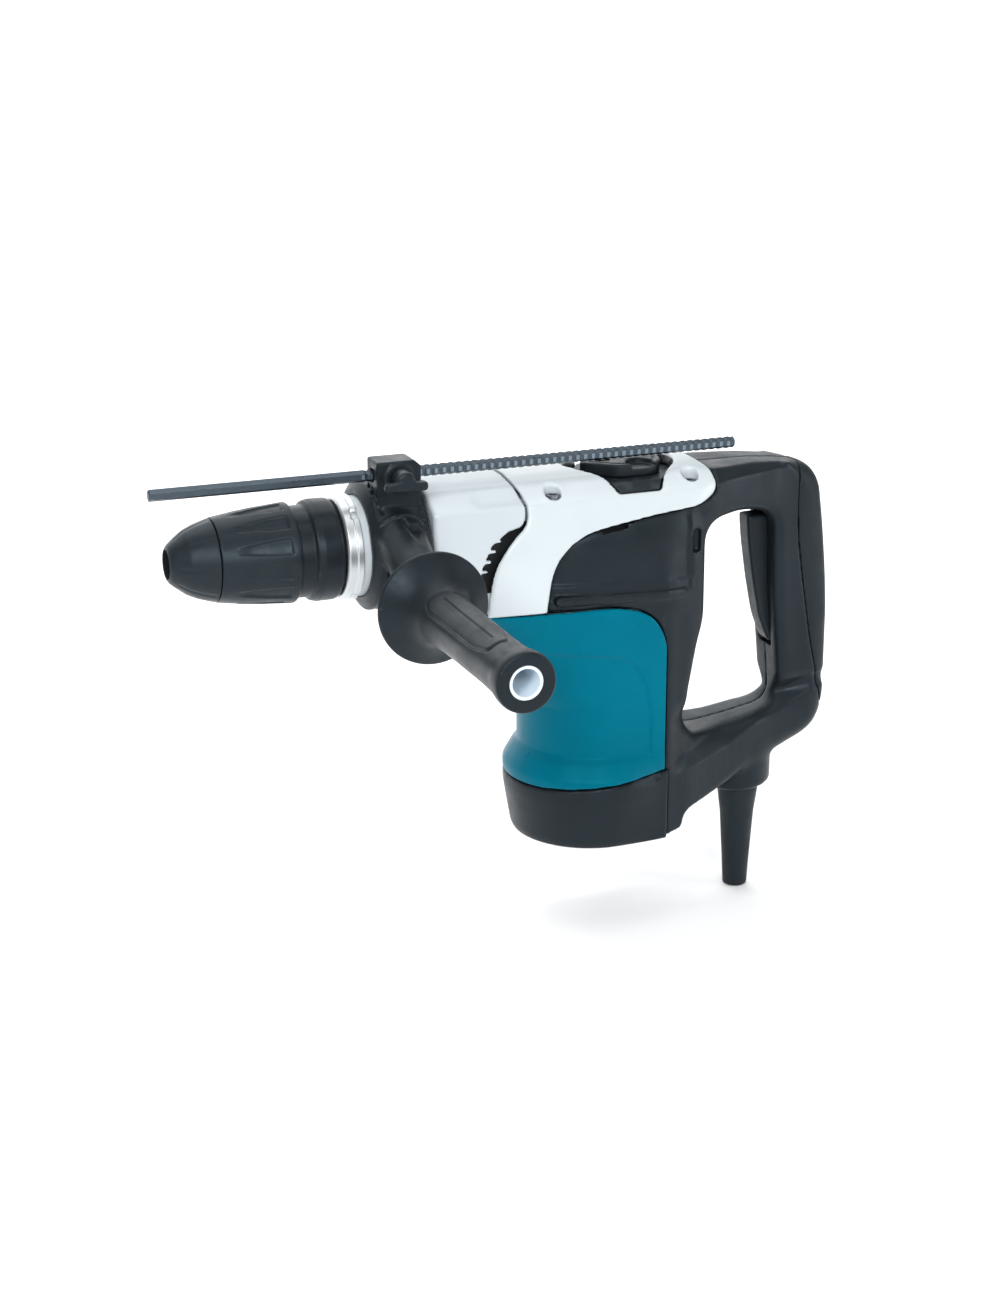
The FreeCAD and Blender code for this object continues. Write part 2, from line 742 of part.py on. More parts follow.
def handle_halves():
    shell = handle_shell()
    near = block("NearSide", 200, -80, -240, 300, 79.95, 320)
    far = block("FarSide", 200, 0.05, -240, 300, 80, 320)
    sub_part(shared("HandleLeft", shell, near), "handle_left")
    sub_part(shared("HandleRight", shell, far), "handle_right")


def handle_screws():
    screws = []
    for x, z in HANDLE_SCREWS:
        head = rod("HandleScrewHead", 4.4, 3, facing(x, 13, z, TO_MINUS_Y))
        shank = rod("HandleScrewShank", 2.05, 18, facing(x, 10.5, z, TO_MINUS_Y))
        socket = rod("HandleScrewSocket", 2, 2, facing(x, 13.1, z, TO_MINUS_Y))
        screws.append(without("HandleScrew", joined("HandleScrewBlank", head, shank), socket))
    return sub_part(group("HandleScrews", screws), "handle_screws")


def grip_pad():
    region = slab("PadRegion", inset(PAD_REGION, 0.1), WIDE)
    skin = without("PadSkin", casing("PadOuter", inset(HANDLE_SIDE, amount("seam_gap") / 2)),
                   casing("PadInner", inset(HANDLE_SIDE, PAD_DEPTH), PAD_DEPTH))
    return sub_part(shared("Pad", region, skin), "grip_pad")


# ---------------------------------------------------------------- the motor housing

MOTOR_SIDE = [
    (203.5, "seam_height"), (284, "seam_height"), (298, -48), (311, -51.5), (321, -59),
    (328.5, -74), (328.5, -166), (233, -174.5), (225, -174.5), (225, -140), (241.5, -119),
]
BASE_SIDE = [
    (225, -174.9), (233, -174.9), (328.5, -166.4), (330.6, -166.2), (330.6, -216.5),
    (322, "base_bottom"), (225, "base_bottom"),
]
BASE_SCREWS = [(263, -27), (263, 27), (321, -27), (321, 27)]


def motor_shape(name, depth):
    """The motor's round body, its wider foot and its flat-sided shoulders, set in by depth."""
    body = turned(name + "_Drum", [
        (0, -40), (amount("motor_radius") - depth, -40), (amount("motor_radius") - depth, -150),
        (amount("base_radius") - depth, -166), (amount("base_radius") - depth, -180), (0, -180),
    ], upright=True)
    body.Placement = place("motor_x")
    half = amount("body_half_width") - depth
    rear = block(name + "_Rear", "motor_x", -half, -180, 40 - depth, 2 * half, 140)
    nose = slab(name + "_Nose", inset([(203.5, -40), (292, -40), (292, -150), (241.5, -119),
                                       (203.5, -47)], depth), 2 * (44 - depth))
    return joined(name, body, rear, nose)


def motor_housing():
    outer = shared("MotorOuter", motor_shape("MotorSkin", 0),
                   slab("MotorSide", inset(MOTOR_SIDE, amount("seam_gap") / 2), WIDE))
    return sub_part(without("MotorShell", outer, motor_shape("MotorRoom", amount("wall"))), "motor_housing")


def bottom_cover():
    base = turned("Base", [
        (0, -160), ("base_radius", -160), ("base_radius", -180), ("base_radius - 5.5", -212),
        ("base_radius - 10", "base_bottom"), (0, "base_bottom"),
    ], upright=True)
    base.Placement = place("motor_x")
    room = turned("BaseRoom", [
        (14, -150), ("base_radius - 3", -150), ("base_radius - 3", -180),
        ("base_radius - 8.5", -210), ("base_radius - 11", "base_bottom + 3"),
        (14, "base_bottom + 3"),
    ], upright=True)
    room.Placement = place("motor_x")
    seat = rod("BearingSeat", 11, 60, place("motor_x", 0, -194))
    top = rod("SeatTop", 15, 60, place("motor_x", 0, -183))
    outer = shared("BaseOuter", base, slab("BaseSide", BASE_SIDE, WIDE))
    posts = []
    cuts = []
    for y in (-18, -9, 9, 18):
        cuts.append(block("Vent", 276, y - 2, "base_bottom - 1", 32, 4, 6))
    for x, y in BASE_SCREWS:
        posts.append(rod("BasePost", 6.5, 29, place(x, y, "base_bottom + 1")))
        cuts.append(rod("BaseScrewWell", 4.3, 6.2, place(x, y, "base_bottom - 1")))
        cuts.append(rod("BaseScrewHole", 2.05, 60, place(x, y, "base_bottom - 1")))
    shell = joined("BaseWithPosts", without("BaseShell", outer, room, seat, top), *posts)
    return sub_part(without("BaseDone", shell, *cuts), "bottom_cover")


def motor_bracket():
    plate = turned("Bracket", [
        (9.5, -56), ("motor_space - 1", -56), ("motor_space - 1", -52.2), (12, -52.2),
        (12, -50.2), (9.5, -50.2),
    ], upright=True)
    return sub_part(plate, "motor_bracket", place("motor_x"))


def base_screws():
    screws = []
    for x, y in BASE_SCREWS:
        head = rod("BaseScrewHead", 4.1, 3, place(x, y, "base_bottom + 2.2"))
        shank = rod("BaseScrewShank", 2, 24, place(x, y, "base_bottom + 5"))
        socket = rod("BaseScrewSocket", 2, 2, place(x, y, "base_bottom + 2"))
        screws.append(without("BaseScrew", joined("BaseScrewBlank", head, shank), socket))
    return sub_part(group("BaseScrews", screws), "base_screws")


# ------------------------------------------------------------------------- the motor

CORE_SLOTS = 12
FAN_BLADES = 14


def armature_shaft():
    shaft = turned("ArmatureShaft", [
        (0, -192), (4, -192), (4, -183), (5, -183), (5, -50), (0, -50),
    ], upright=True)
    return sub_part(shaft, "armature_shaft", place("motor_x"))


def motor_pinion():
    pinion = toothed("MotorPinion", "pinion_teeth", "gear_module", 9, None)
    return sub_part(pinion, "motor_pinion", place("motor_x", 0, -49.9))


def armature_core():
    core = rod("Core", 26, 54, place(0, 0, -142))
    bore = rod("CoreBore", 5, 60, place(0, 0, -145))
    slots = turned_copies("SlotLink", block("CoreSlot", 20, -1.2, -150, 10, 2.4, 70), CORE_SLOTS)
    return sub_part(without("ArmatureCore", core, bore, *slots), "armature_core",
                    place("motor_x"))


def armature_windings():
    rings = []
    for low in (-87.6, -149):
        rings.append(turned("EndTurns", [
            (8, low), (20, low), (23, low + 2), (23, low + 5), (20, low + 6.6), (8, low + 6.6),
        ], upright=True))
    return sub_part(group("EndTurnsPair", rings), "armature_windings", place("motor_x"))


def commutator():
    drum = turned("Commutator", [(5, -174), (14, -174), (14, -156), (5, -156)], upright=True)
    return sub_part(drum, "commutator", place("motor_x"))


def cooling_fan():
    hub = turned("FanHub", [
        (5, -76), (12, -76), (12, -64), (42, -62), (42, -60), (5, -60),
    ], upright=True)
    blades = turned_copies("BladeLink", block("Blade", 16, -1, -74, 25, 2, 12), FAN_BLADES)
    return sub_part(joined("Fan", hub, *blades), "cooling_fan", place("motor_x"))


def field_core():
    ring = turned("FieldCore", [(27.5, -142), (40, -142), (40, -88), (27.5, -88)], upright=True)
    return sub_part(ring, "field_core", place("motor_x"))


def field_windings():
    rings = []
    for low in (-87.8, -150):
        rings.append(turned("FieldCoil", [
            (28, low), (38, low), (38, low + 7.8), (28, low + 7.8),
        ], upright=True))
    return sub_part(group("FieldCoils", rings), "field_windings", place("motor_x"))


def brush_gear():
    holders = []
    brushes = []
    for side in (-1, 1):
        middle = amount("motor_x") + 28 * side
        holder = block("Holder", middle - 10, -6, -171, 20, 12, 12)
        channel = block("Channel", middle - 11, -4, -169, 22, 8, 8)
        holders.append(without("BrushHolder", holder, channel))
        brushes.append(block("Brush", amount("motor_x") + 22.2 * side - 8, -3.9, -168.9, 16, 7.8,
                             7.8))
    sub_part(group("BrushHolders", holders), "brush_holders")
    sub_part(group("Brushes", brushes), "carbon_brushes")


# ---------------------------------------------------------------- controls and cord

def mode_lever():
    disc = rod("LeverDisc", "lever_radius", "lever_top - lever_floor",
               place("lever_x", 0, "lever_floor"))
    arm = slab("LeverArm", [("lever_x - 33", -4), ("lever_x - 30", -5.5), ("lever_x - 10", -20),
                            ("lever_x - 10", 20), ("lever_x - 30", 5.5), ("lever_x - 33", 4)],
               "lever_top - lever_floor", "XY_Plane")
    arm.Placement = place(0, 0, "(lever_top + lever_floor) / 2")
    spindle = rod("LeverSpindle", 6, 14.5, place("lever_x", 0, 20.5))
    pocket = block("ButtonPocket", "lever_x - 22.3", -2.8, "lever_top - 4.5", 9.6, 5.6, 6)
    return sub_part(without("Lever", joined("LeverBlank", disc, arm, spindle), pocket),
                    "mode_lever")


def lock_button():
    button = block("Button", "lever_x - 22", -2.5, "lever_top - 2.6", 9, 5, 3.2)
    return sub_part(button, "lock_button")


def lever_plate():
    plate = slab("PlateOutline", inset(LEVER_OPENING, 0.7), 4.8, "XY_Plane")
    plate.Placement = place(0, 0, 30.5)
    roof = slab("PlateRoof", inset(ROOF, 1), LONG, "YZ_Plane")
    roof.Placement = place(CASING_MIDDLE)
    hole = rod("PlateHole", 6.3, 20, place("lever_x", 0, 20))
    return sub_part(without("LeverPlate", shared("PlateTrimmed", plate, roof), hole),
                    "lever_plate")


TRIGGER_SIDE = [
    (407, -7), (408, -5.5), (431, -5.5), (434, -60), (436, -96), (431, -99.5), (426, -98),
    (418.5, -80), (412.5, -52), (408.5, -25),
]


def trigger():
    paddle = slab("Paddle", TRIGGER_SIDE, "2 * trigger_half_width")
    pivot_hole = rod("TriggerPivotHole", "pivot_radius + running_gap", 30,
                     facing("trigger_pivot_x", 15, "trigger_pivot_z", TO_MINUS_Y))
    return sub_part(without("Trigger", paddle, pivot_hole), "trigger")


def trigger_pivot():
    pin = rod("TriggerPivot", "pivot_radius", 26,
              facing("trigger_pivot_x", 13, "trigger_pivot_z", TO_MINUS_Y))
    return sub_part(pin, "trigger_pivot")


def trigger_switch():
    return sub_part(block("Switch", 443, -10.5, -80, 18, 21, 52), "trigger_switch")


def cord_guard():
    sleeve = turned("Guard", [
        ("cord_radius", -281), (8.6, -281), (9.6, -262), (12, -225), (14.5, -207), (14.5, -203),
        ("guard_collar_radius", -201), ("guard_collar_radius", -186), ("cord_radius", -186),
    ], upright=True)
    trim = slab("GuardTop", [(380, -170), (380, -197.5), (440, -177), (440, -170)], 60)
    sleeve.Placement = place("cord_x")
    collar = rod("GuardCollar", "guard_collar_radius", 20, place("cord_x", 0, -203))
    bore = rod("GuardBore", "cord_radius", 30, place("cord_x", 0, -210))
    whole = joined("GuardWhole", without("GuardTrimmed", sleeve, trim),
                   without("GuardNeck", collar, bore))
    return sub_part(whole, "cord_guard")


def cord_clamp():
    bar = block("CordBar", 403.5, -9, -178.6, 13, 18, 3.2)
    hole = rod("CordBarHole", "cord_radius", 20, place("cord_x", 0, -190))
    return sub_part(without("CordClamp", bar, hole), "cord_clamp")


# -------------------------------------------------------------------- side handle

def side_handle_base():
    ring = turned("ClampRing", [
        (126, "barrel_radius + clamp_gap"), (126, 38), (129, "clamp_radius"), (163, "clamp_radius"),
        (165, 41), (165, "barrel_radius + clamp_gap"),
    ])
    tower = block("Tower", 132, -29, 20, 30, 21, 41)
    neck = DOC.addObject("Part::Cone", unique("Neck"))
    drive(neck, Radius1="neck_root_radius", Radius2="neck_end_radius")
    start = V(amount("clamp_x"), -32, 12)
    end = V(amount("grip_x"), amount("flange_y") + 8, amount("grip_height") + 1)
    neck.Height = (end - start).Length
    neck.Placement = FreeCAD.Placement(start, FreeCAD.Rotation(V(0, 0, 1), end - start))
    seat = rod("GripSeat", 16, 5, facing("grip_x", "flange_y + 9", "grip_height", TO_MINUS_Y))
    bore = rod("ClampBore", "barrel_radius + clamp_gap", 60, facing(115, 0, 0, ALONG_X))
    rod_hole = rod("RodHole", "rod_radius + 0.3", 60, facing(115, "rod_y", "rod_z", ALONG_X))
    screw_hole = rod("WingHole", 3.05, 30, facing("wing_x", "rod_y", "rod_z", TO_MINUS_Y))
    bolt_hole = rod("BoltHole", 4.05, 120, facing("grip_x", -44, "grip_height", TO_MINUS_Y))
    blank = joined("ClampBlank", ring, tower, neck, seat)
    return sub_part(without("Clamp", blank, bore, rod_hole, screw_hole, bolt_hole),
                    "side_handle_base")


def clamp_bolt():
    shank = rod("ClampBolt", 4, 118, facing("grip_x", -50, "grip_height", TO_MINUS_Y))
    return sub_part(shank, "clamp_bolt")


def side_grip():
    """The dished flange and the tapering grip, turned about the grip's own axis."""
    profile = [
        (4.1, 4), (16, 3.5), ("flange_radius - 12", 1.5), ("flange_radius - 1", -6),
        ("flange_radius", -4.5), ("flange_radius - 0.5", -3), (27, 6), (20, 9.5),
        ("grip_radius", 16), ("grip_radius - 0.6", 60), ("grip_radius - 0.8", 110),
        ("grip_radius + 0.8", 136), ("grip_radius + 1.9", "grip_end - 5"),
        ("grip_radius + 1.6", "grip_end - 1"), ("grip_radius + 0.6", "grip_end"),
        ("liner_radius + 0.05", "grip_end"), ("liner_radius + 0.05", 60), (4.1, 56),
    ]
    body = turned("Grip", profile, upright=True)
    return sub_part(body, "side_grip", facing("grip_x", "flange_y", "grip_height", TO_MINUS_Y))


def grip_liner():
    tube = turned("Liner", [
        ("liner_radius - 2", 62), ("liner_radius", 62), ("liner_radius", "grip_end - 0.6"),
        ("liner_radius - 2", "grip_end - 0.6"),
    ], upright=True)
    return sub_part(tube, "grip_liner", facing("grip_x", "flange_y", "grip_height", TO_MINUS_Y))


def depth_rod():
    bar = DOC.addObject("Part::Prism", unique("DepthRod"))
    bar.Polygon = 6
    drive(bar, Circumradius="rod_radius", Height="rod_length")
    return sub_part(bar, "depth_rod", facing("rod_start", "rod_y", "rod_z", ALONG_X))


def wing_screw():
    shank = rod("WingShank", 3, 14,
                facing("wing_x", "rod_y - rod_radius - 0.4", "rod_z", TO_MINUS_Y))
    hub = rod("WingHub", 6.5, 14, facing("wing_x", -29.4, "rod_z", TO_MINUS_Y))
    wing = slab("Wing", [(-14.5, -1.6), (-13, -3.2), (13, -3.2), (14.5, -1.6), (14.5, 1.6),
                         (13, 3.2), (-13, 3.2), (-14.5, 1.6)], 8)
    wing.Placement = place("wing_x", -43, "rod_z")
    return sub_part(joined("WingScrew", shank, hub, wing), "wing_screw")


# ------------------------------------------------------------------ build and write

def build():
    for maker in (
        nose_cap, chuck_sleeve, chuck_ring, chuck_spring, locking_rollers, tool_holder,
        spindle_cylinder, impact_bolt, striker, piston, piston_pin, connecting_rod, crank_pin,
        crankshaft, crank_gear, idler_gear, bevel_pinion_shaft, bevel_ring_gear, oil_seal,
        spindle_bearing, gear_housing, barrel_ring, crank_cap, housing_cover, cover_screws,
        handle_halves, handle_screws, grip_pad, motor_housing, bottom_cover, motor_bracket,
        base_screws, armature_shaft, motor_pinion, armature_core, armature_windings, commutator,
        cooling_fan, field_core, field_windings, brush_gear, mode_lever, lock_button,
        lever_plate, trigger, trigger_pivot, trigger_switch, cord_guard, cord_clamp,
        side_handle_base, clamp_bolt, side_grip, grip_liner, depth_rod, wing_screw,
    ):
        maker()
    bearing("crank_bearing", "crank_x", -35, "8 + running_gap", "16", 13)
    bearing("upper_motor_bearing", "motor_x", -55.8, "5 + running_gap", "9.5", 5.2)
    bearing("lower_motor_bearing", "motor_x", -190, "4 + running_gap", "11", 7)
    DOC.recompute()


def check():
    for item in DOC.Objects:
        if "Invalid" in item.State or "Error" in item.State:
            raise RuntimeError("%s (%s) failed: %s" % (item.Name, item.Label, item.State))
    for item in SUB_PARTS:
        if item.Shape.isNull() or not item.Shape.isValid() or not item.Shape.Solids:
            raise RuntimeError("%s has no valid solid" % item.Label)


def write():
    os.makedirs("parts", exist_ok=True)
    for item in SUB_PARTS:
        item.Shape.exportStep("parts/%s.step" % item.Label)
        print("%-22s %2d solid(s) %9.0f mm3" % (item.Label, len(item.Shape.Solids),
                                                item.Shape.Volume))


build()
check()
write()
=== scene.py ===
import json
import math

import bpy
import numpy as np
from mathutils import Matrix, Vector


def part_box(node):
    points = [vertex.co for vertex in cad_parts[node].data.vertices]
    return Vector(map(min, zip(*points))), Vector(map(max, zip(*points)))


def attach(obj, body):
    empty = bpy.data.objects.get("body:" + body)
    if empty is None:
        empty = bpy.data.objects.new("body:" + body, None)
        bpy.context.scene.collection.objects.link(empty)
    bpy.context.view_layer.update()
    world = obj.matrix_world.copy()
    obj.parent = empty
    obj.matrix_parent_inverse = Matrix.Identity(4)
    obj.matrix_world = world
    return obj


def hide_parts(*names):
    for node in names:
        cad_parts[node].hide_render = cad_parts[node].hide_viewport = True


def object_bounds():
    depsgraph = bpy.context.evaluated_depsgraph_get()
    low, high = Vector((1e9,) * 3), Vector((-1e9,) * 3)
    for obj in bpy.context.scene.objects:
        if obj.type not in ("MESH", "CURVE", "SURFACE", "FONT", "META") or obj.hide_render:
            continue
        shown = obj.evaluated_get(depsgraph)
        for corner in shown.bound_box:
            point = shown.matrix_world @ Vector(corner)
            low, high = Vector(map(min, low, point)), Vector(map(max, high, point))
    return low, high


# Looks for the rotary hammer.  The moulded and cast shells are made from distance fields
# sampled on a grid, the turned parts from profiles.  Lengths are millimetres in the row
# frame until a mesh is written, which is in metres.

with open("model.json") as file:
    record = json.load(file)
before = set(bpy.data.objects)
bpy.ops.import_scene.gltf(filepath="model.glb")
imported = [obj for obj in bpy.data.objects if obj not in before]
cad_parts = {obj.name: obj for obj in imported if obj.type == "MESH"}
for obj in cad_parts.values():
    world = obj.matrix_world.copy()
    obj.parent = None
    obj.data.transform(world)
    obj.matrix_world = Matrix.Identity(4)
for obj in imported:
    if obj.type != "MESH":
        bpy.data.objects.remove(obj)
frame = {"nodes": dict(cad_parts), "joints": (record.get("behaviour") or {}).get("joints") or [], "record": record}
cad_low, cad_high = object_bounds()

MM = 0.001
FINE = 1.0


def node_box(name):
    low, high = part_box(name)
    return np.array(low) / MM, np.array(high) / MM


def joint_point(name):
    entry = next(entry for entry in frame["joints"] if entry["name"] == name)
    return np.array(entry["pos_m"]) / MM


MOTOR_X = joint_point("armature_spin")[0]
CRANK_X = joint_point("crank_spin")[0]
UPRIGHT_X = joint_point("intermediate_spin")[0]
LEVER_X = joint_point("mode_lever_turn")[0]
GRIP_X, GRIP_Y, GRIP_Z = joint_point("side_grip_turn")
PIVOT = joint_point("trigger_pull")
ROD_LOW, ROD_HIGH = node_box("depth_rod")
_, ROD_Y, ROD_Z = (ROD_LOW + ROD_HIGH) / 2
TOOTH_START, TOOTH_PITCH = ROD_LOW[0] + 138, 5.5
SCREW_X = joint_point("wing_screw_turn")[0]
GUARD_LOW, GUARD_HIGH = node_box("cord_guard")
GUARD_X = (GUARD_LOW[0] + GUARD_HIGH[0]) / 2

# ------------------------------------------------------------------ distance fields

CORNER_POINTS = 7


class Grid:
    """Sample points over a box, as three arrays that spread against each other."""

    def __init__(self, low, high, step):
        self.step = step / FINE
        self.low = np.array(low, float) - 1.5 * self.step
        counts = [int(math.ceil((b - a) / self.step)) + 4 for a, b in zip(low, high)]
        places = [self.low[i] + self.step * np.arange(counts[i]) for i in range(3)]
        self.axes = [axis.astype(np.float32)
                     for axis in np.meshgrid(*places, indexing="ij", sparse=True)]
        self.x, self.y, self.z = self.axes
        self.shape = tuple(counts)


def soft_max(a, b, k):
    """The larger of two fields, with the edge between them rounded over about k."""
    blend = np.maximum(k - np.abs(a - b), 0) / k
    return np.maximum(a, b) + blend * blend * k * 0.25


def soft_min(a, b, k):
    return -soft_max(-a, -b, k)


def cut(a, b, k):
    """Field a with field b taken away."""
    return soft_max(a, -b, k)


def ramp(value, start, end):
    """0 before start, 1 after end, and smooth between."""
    t = np.clip((value - start) / (end - start), 0, 1)
    return t * t * (3 - 2 * t)


def gap_to_run(u, v, start, end):
    """Squared distance from a straight run between two points."""
    (ax, ay), (bx, by) = start, end
    along_x, along_y = bx - ax, by - ay
    length = max(along_x ** 2 + along_y ** 2, 1e-9)
    t = np.clip(((u - ax) * along_x + (v - ay) * along_y) / length, 0, 1)
    return (u - ax - t * along_x) ** 2 + (v - ay - t * along_y) ** 2


def outline(u, v, points):
    """Signed distance from a closed outline, negative inside."""
    u, v = np.broadcast_arrays(u, v)
    nearest = np.full(u.shape, 1e9, np.float32)
    inside = np.zeros(u.shape, bool)
    for start, end in zip(points, points[1:] + points[:1]):
        nearest = np.minimum(nearest, gap_to_run(u, v, start, end))
        (ax, ay), (bx, by) = start, end
        if ay != by:
            inside ^= ((ay > v) != (by > v)) & (u < (bx - ax) * (v - ay) / (by - ay) + ax)
    nearest = np.sqrt(nearest)
    return np.where(inside, -nearest, nearest)


def line_distance(u, v, points):
    """Distance from an open line of straight runs."""
    u, v = np.broadcast_arrays(u, v)
    nearest = np.full(u.shape, 1e9, np.float32)
    for start, end in zip(points, points[1:]):
        nearest = np.minimum(nearest, gap_to_run(u, v, start, end))
    return np.sqrt(nearest)


def eased(points, radius):
    """An outline whose corners are turned into short curves.  A third number in a point
    is that corner's own reach."""
    made = []
    count = len(points)
    for index, point in enumerate(points):
        reach = point[2] if len(point) > 2 else radius
        corner = np.array(point[:2], float)
        before = np.array(points[index - 1][:2], float) - corner
        after = np.array(points[(index + 1) % count][:2], float) - corner
        reach_before = min(reach, 0.48 * np.linalg.norm(before))
        reach_after = min(reach, 0.48 * np.linalg.norm(after))
        start = corner + before / np.linalg.norm(before) * reach_before
        end = corner + after / np.linalg.norm(after) * reach_after
        for t in np.linspace(0, 1, CORNER_POINTS):
            spot = (1 - t) ** 2 * start + 2 * t * (1 - t) * corner + t * t * end
            made.append((float(spot[0]), float(spot[1])))
    return made


def curve(value, points, blur):
    """A smooth curve through (place, size) points, read at value."""
    places, sizes = zip(*points)
    tail = 3 * blur
    table = np.arange(places[0] - tail, places[-1] + tail, 1.0)
    rough = np.interp(table, places, sizes)
    weight = np.exp(-0.5 * (np.arange(-tail, tail + 1) / blur) ** 2)
    padded = np.pad(rough, tail, mode="edge")
    smooth = np.convolve(padded, weight / weight.sum(), mode="valid")
    return np.interp(value, table, smooth).astype(np.float32)


def progress(x, y, z, start, along):
    """How far a point has come from start along a direction."""
    return (x - start[0]) * along[0] + (y - start[1]) * along[1] + (z - start[2]) * along[2]


def ball_tube(x, y, z, start, end, start_radius, end_radius):
    """Distance from a tube whose radius changes evenly from end to end."""
    start, end = np.array(start, float), np.array(end, float)
    along = end - start
    t = np.clip(progress(x, y, z, start, along) / (along @ along), 0, 1)
    gap = np.sqrt((x - start[0] - t * along[0]) ** 2 + (y - start[1] - t * along[1]) ** 2
                  + (z - start[2] - t * along[2]) ** 2)
    return gap - (start_radius + (end_radius - start_radius) * t)


def box_field(x, y, z, low, high, k):
    middle = [(a + b) / 2 for a, b in zip(low, high)]
    half = [(b - a) / 2 for a, b in zip(low, high)]
    sides = [np.abs(place - m) - h for place, m, h in zip((x, y, z), middle, half)]
    return soft_max(soft_max(sides[0], sides[1], k), sides[2], k)


# ------------------------------------------------------------------------- meshing

CORNERS = [(i, j, k) for i in (0, 1) for j in (0, 1) for k in (0, 1)]
EDGES = [(a, b) for a in CORNERS for b in CORNERS
         if sum(abs(p - q) for p, q in zip(a, b)) == 1 and a < b]


def net(field, grid):
    """Vertices and quads of the surface where the field is zero."""
    inside = field < 0
    cells = tuple(n - 1 for n in field.shape)
    total = np.zeros(cells, np.int8)
    for i, j, k in CORNERS:
        total += inside[i:i + cells[0], j:j + cells[1], k:k + cells[2]]
    active = np.argwhere((total > 0) & (total < 8))
    number = np.full(cells, -1, np.int64)
    number[tuple(active.T)] = np.arange(len(active))
    place = np.zeros((len(active), 3))
    hits = np.zeros(len(active))
    for a, b in EDGES:
        low = field[tuple((active + a).T)]
        high = field[tuple((active + b).T)]
        crossing = (low < 0) != (high < 0)
        t = low[crossing] / (low[crossing] - high[crossing])
        spot = np.array(a) + t[:, None] * (np.array(b) - np.array(a))
        place[crossing] += spot
        hits[crossing] += 1
    verts = (active + place / hits[:, None]) * grid.step + grid.low
    quads = []
    for axis in range(3):
        first, second = [i for i in range(3) if i != axis]
        near = np.take(inside, range(field.shape[axis] - 1), axis)
        far = np.take(inside, range(1, field.shape[axis]), axis)
        edges = np.argwhere(near != far)
        keep = (edges[:, first] > 0) & (edges[:, second] > 0)
        keep &= (edges[:, first] < cells[first]) & (edges[:, second] < cells[second])
        edges = edges[keep]
        leaving = near[tuple(edges.T)]
        ring = []
        for step_first, step_second in ((-1, -1), (0, -1), (0, 0), (-1, 0)):
            cell = edges.copy()
            cell[:, first] += step_first
            cell[:, second] += step_second
            ring.append(number[tuple(cell.T)])
        ring = np.stack(ring, 1)
        # Across the middle axis the ring of cells runs the other way round.
        if axis == 1:
            leaving = ~leaving
        ring[~leaving] = ring[~leaving][:, ::-1]
        quads.append(ring)
    return verts, np.concatenate(quads)


def shade_smooth(mesh, sharp):
    """Smooth shading, except at edges that bend more than sharp degrees."""
    mesh.polygons.foreach_set("use_smooth", [True] * len(mesh.polygons))
    mesh.set_sharp_from_angle(angle=math.radians(sharp))


def mesh_object(name, verts, faces, sharp=35):
    mesh = bpy.data.meshes.new(name)
    mesh.from_pydata((np.asarray(verts) * MM).tolist(), [], [list(map(int, f)) for f in faces])
    mesh.update()
    shade_smooth(mesh, sharp)
    made = bpy.data.objects.new(name, mesh)
    bpy.context.scene.collection.objects.link(made)
    return made


def thin_out(made, share, sharp):
    """Leaves fewer faces, most of them where the surface bends."""
    thin = made.modifiers.new("thin", "DECIMATE")
    thin.ratio = share
    graph = bpy.context.evaluated_depsgraph_get()
    mesh = bpy.data.meshes.new_from_object(made.evaluated_get(graph))
    made.modifiers.clear()
    old = made.data
    made.data = mesh
    bpy.data.meshes.remove(old)
    shade_smooth(mesh, sharp)


def finish_piece(made, node, body, slot, look=None):
    """Puts a piece in place of its CAD node.  Its look is its slot's, unless one is given."""
    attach(made, body)
    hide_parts(node)
    made.data.materials.clear()
    made.data.materials.append(LOOK[look or slot])


SHELL_SHARP = 40


def shell(node, body, slot, field, grid, share, name=None):
    """A piece whose surface is where the field is zero, with a share of its faces."""
    verts, faces = net(np.broadcast_to(field, grid.shape), grid)
    made = mesh_object((name or node) + "_skin", verts, faces, SHELL_SHARP)
    thin_out(made, share, SHELL_SHARP)
    finish_piece(made, node, body, slot)


def bands(count, rows, sides):
    """Quads of count bands, each joining a row of points to the next row."""
    faces = []
    for row in range(count):
        after = (row + 1) % rows
        for corner in range(sides):
            turn = (corner + 1) % sides
            faces.append((row * sides + corner, row * sides + turn, after * sides + turn,
                          after * sides + corner))
    return faces


def turned(node, body, slot, profile, sides, place, relief=None, spacing=None, sharp=35):
    """A piece turned from a profile.  place maps (along, across, up) to the row frame;
    relief moves the surface outwards by relief(along, radius, angle)."""
    points = [np.array(p, float) for p in profile]
    rows = []
    for start, end in zip(points, points[1:] + points[:1]):
        gap = np.linalg.norm(end - start)
        parts = max(1, math.ceil(gap / spacing)) if spacing else 1
        for part in range(parts):
            rows.append(start + (end - start) * part / parts)
    rows = np.array(rows)
    along = np.repeat(rows[:, 0:1], sides, 1)
    radius = np.repeat(rows[:, 1:2], sides, 1)
    angle = np.repeat(np.arange(sides)[None, :] * math.tau / sides, len(rows), 0)
    if relief is not None:
        radius = radius + relief(along, radius, angle)
    spots = place(along, radius * np.cos(angle), radius * np.sin(angle))
    verts = np.stack(spots, -1).reshape(-1, 3)
    made = mesh_object(node + "_skin", verts, bands(len(rows), len(rows), sides), sharp)
    face_outwards(made.data)
    finish_piece(made, node, body, slot)


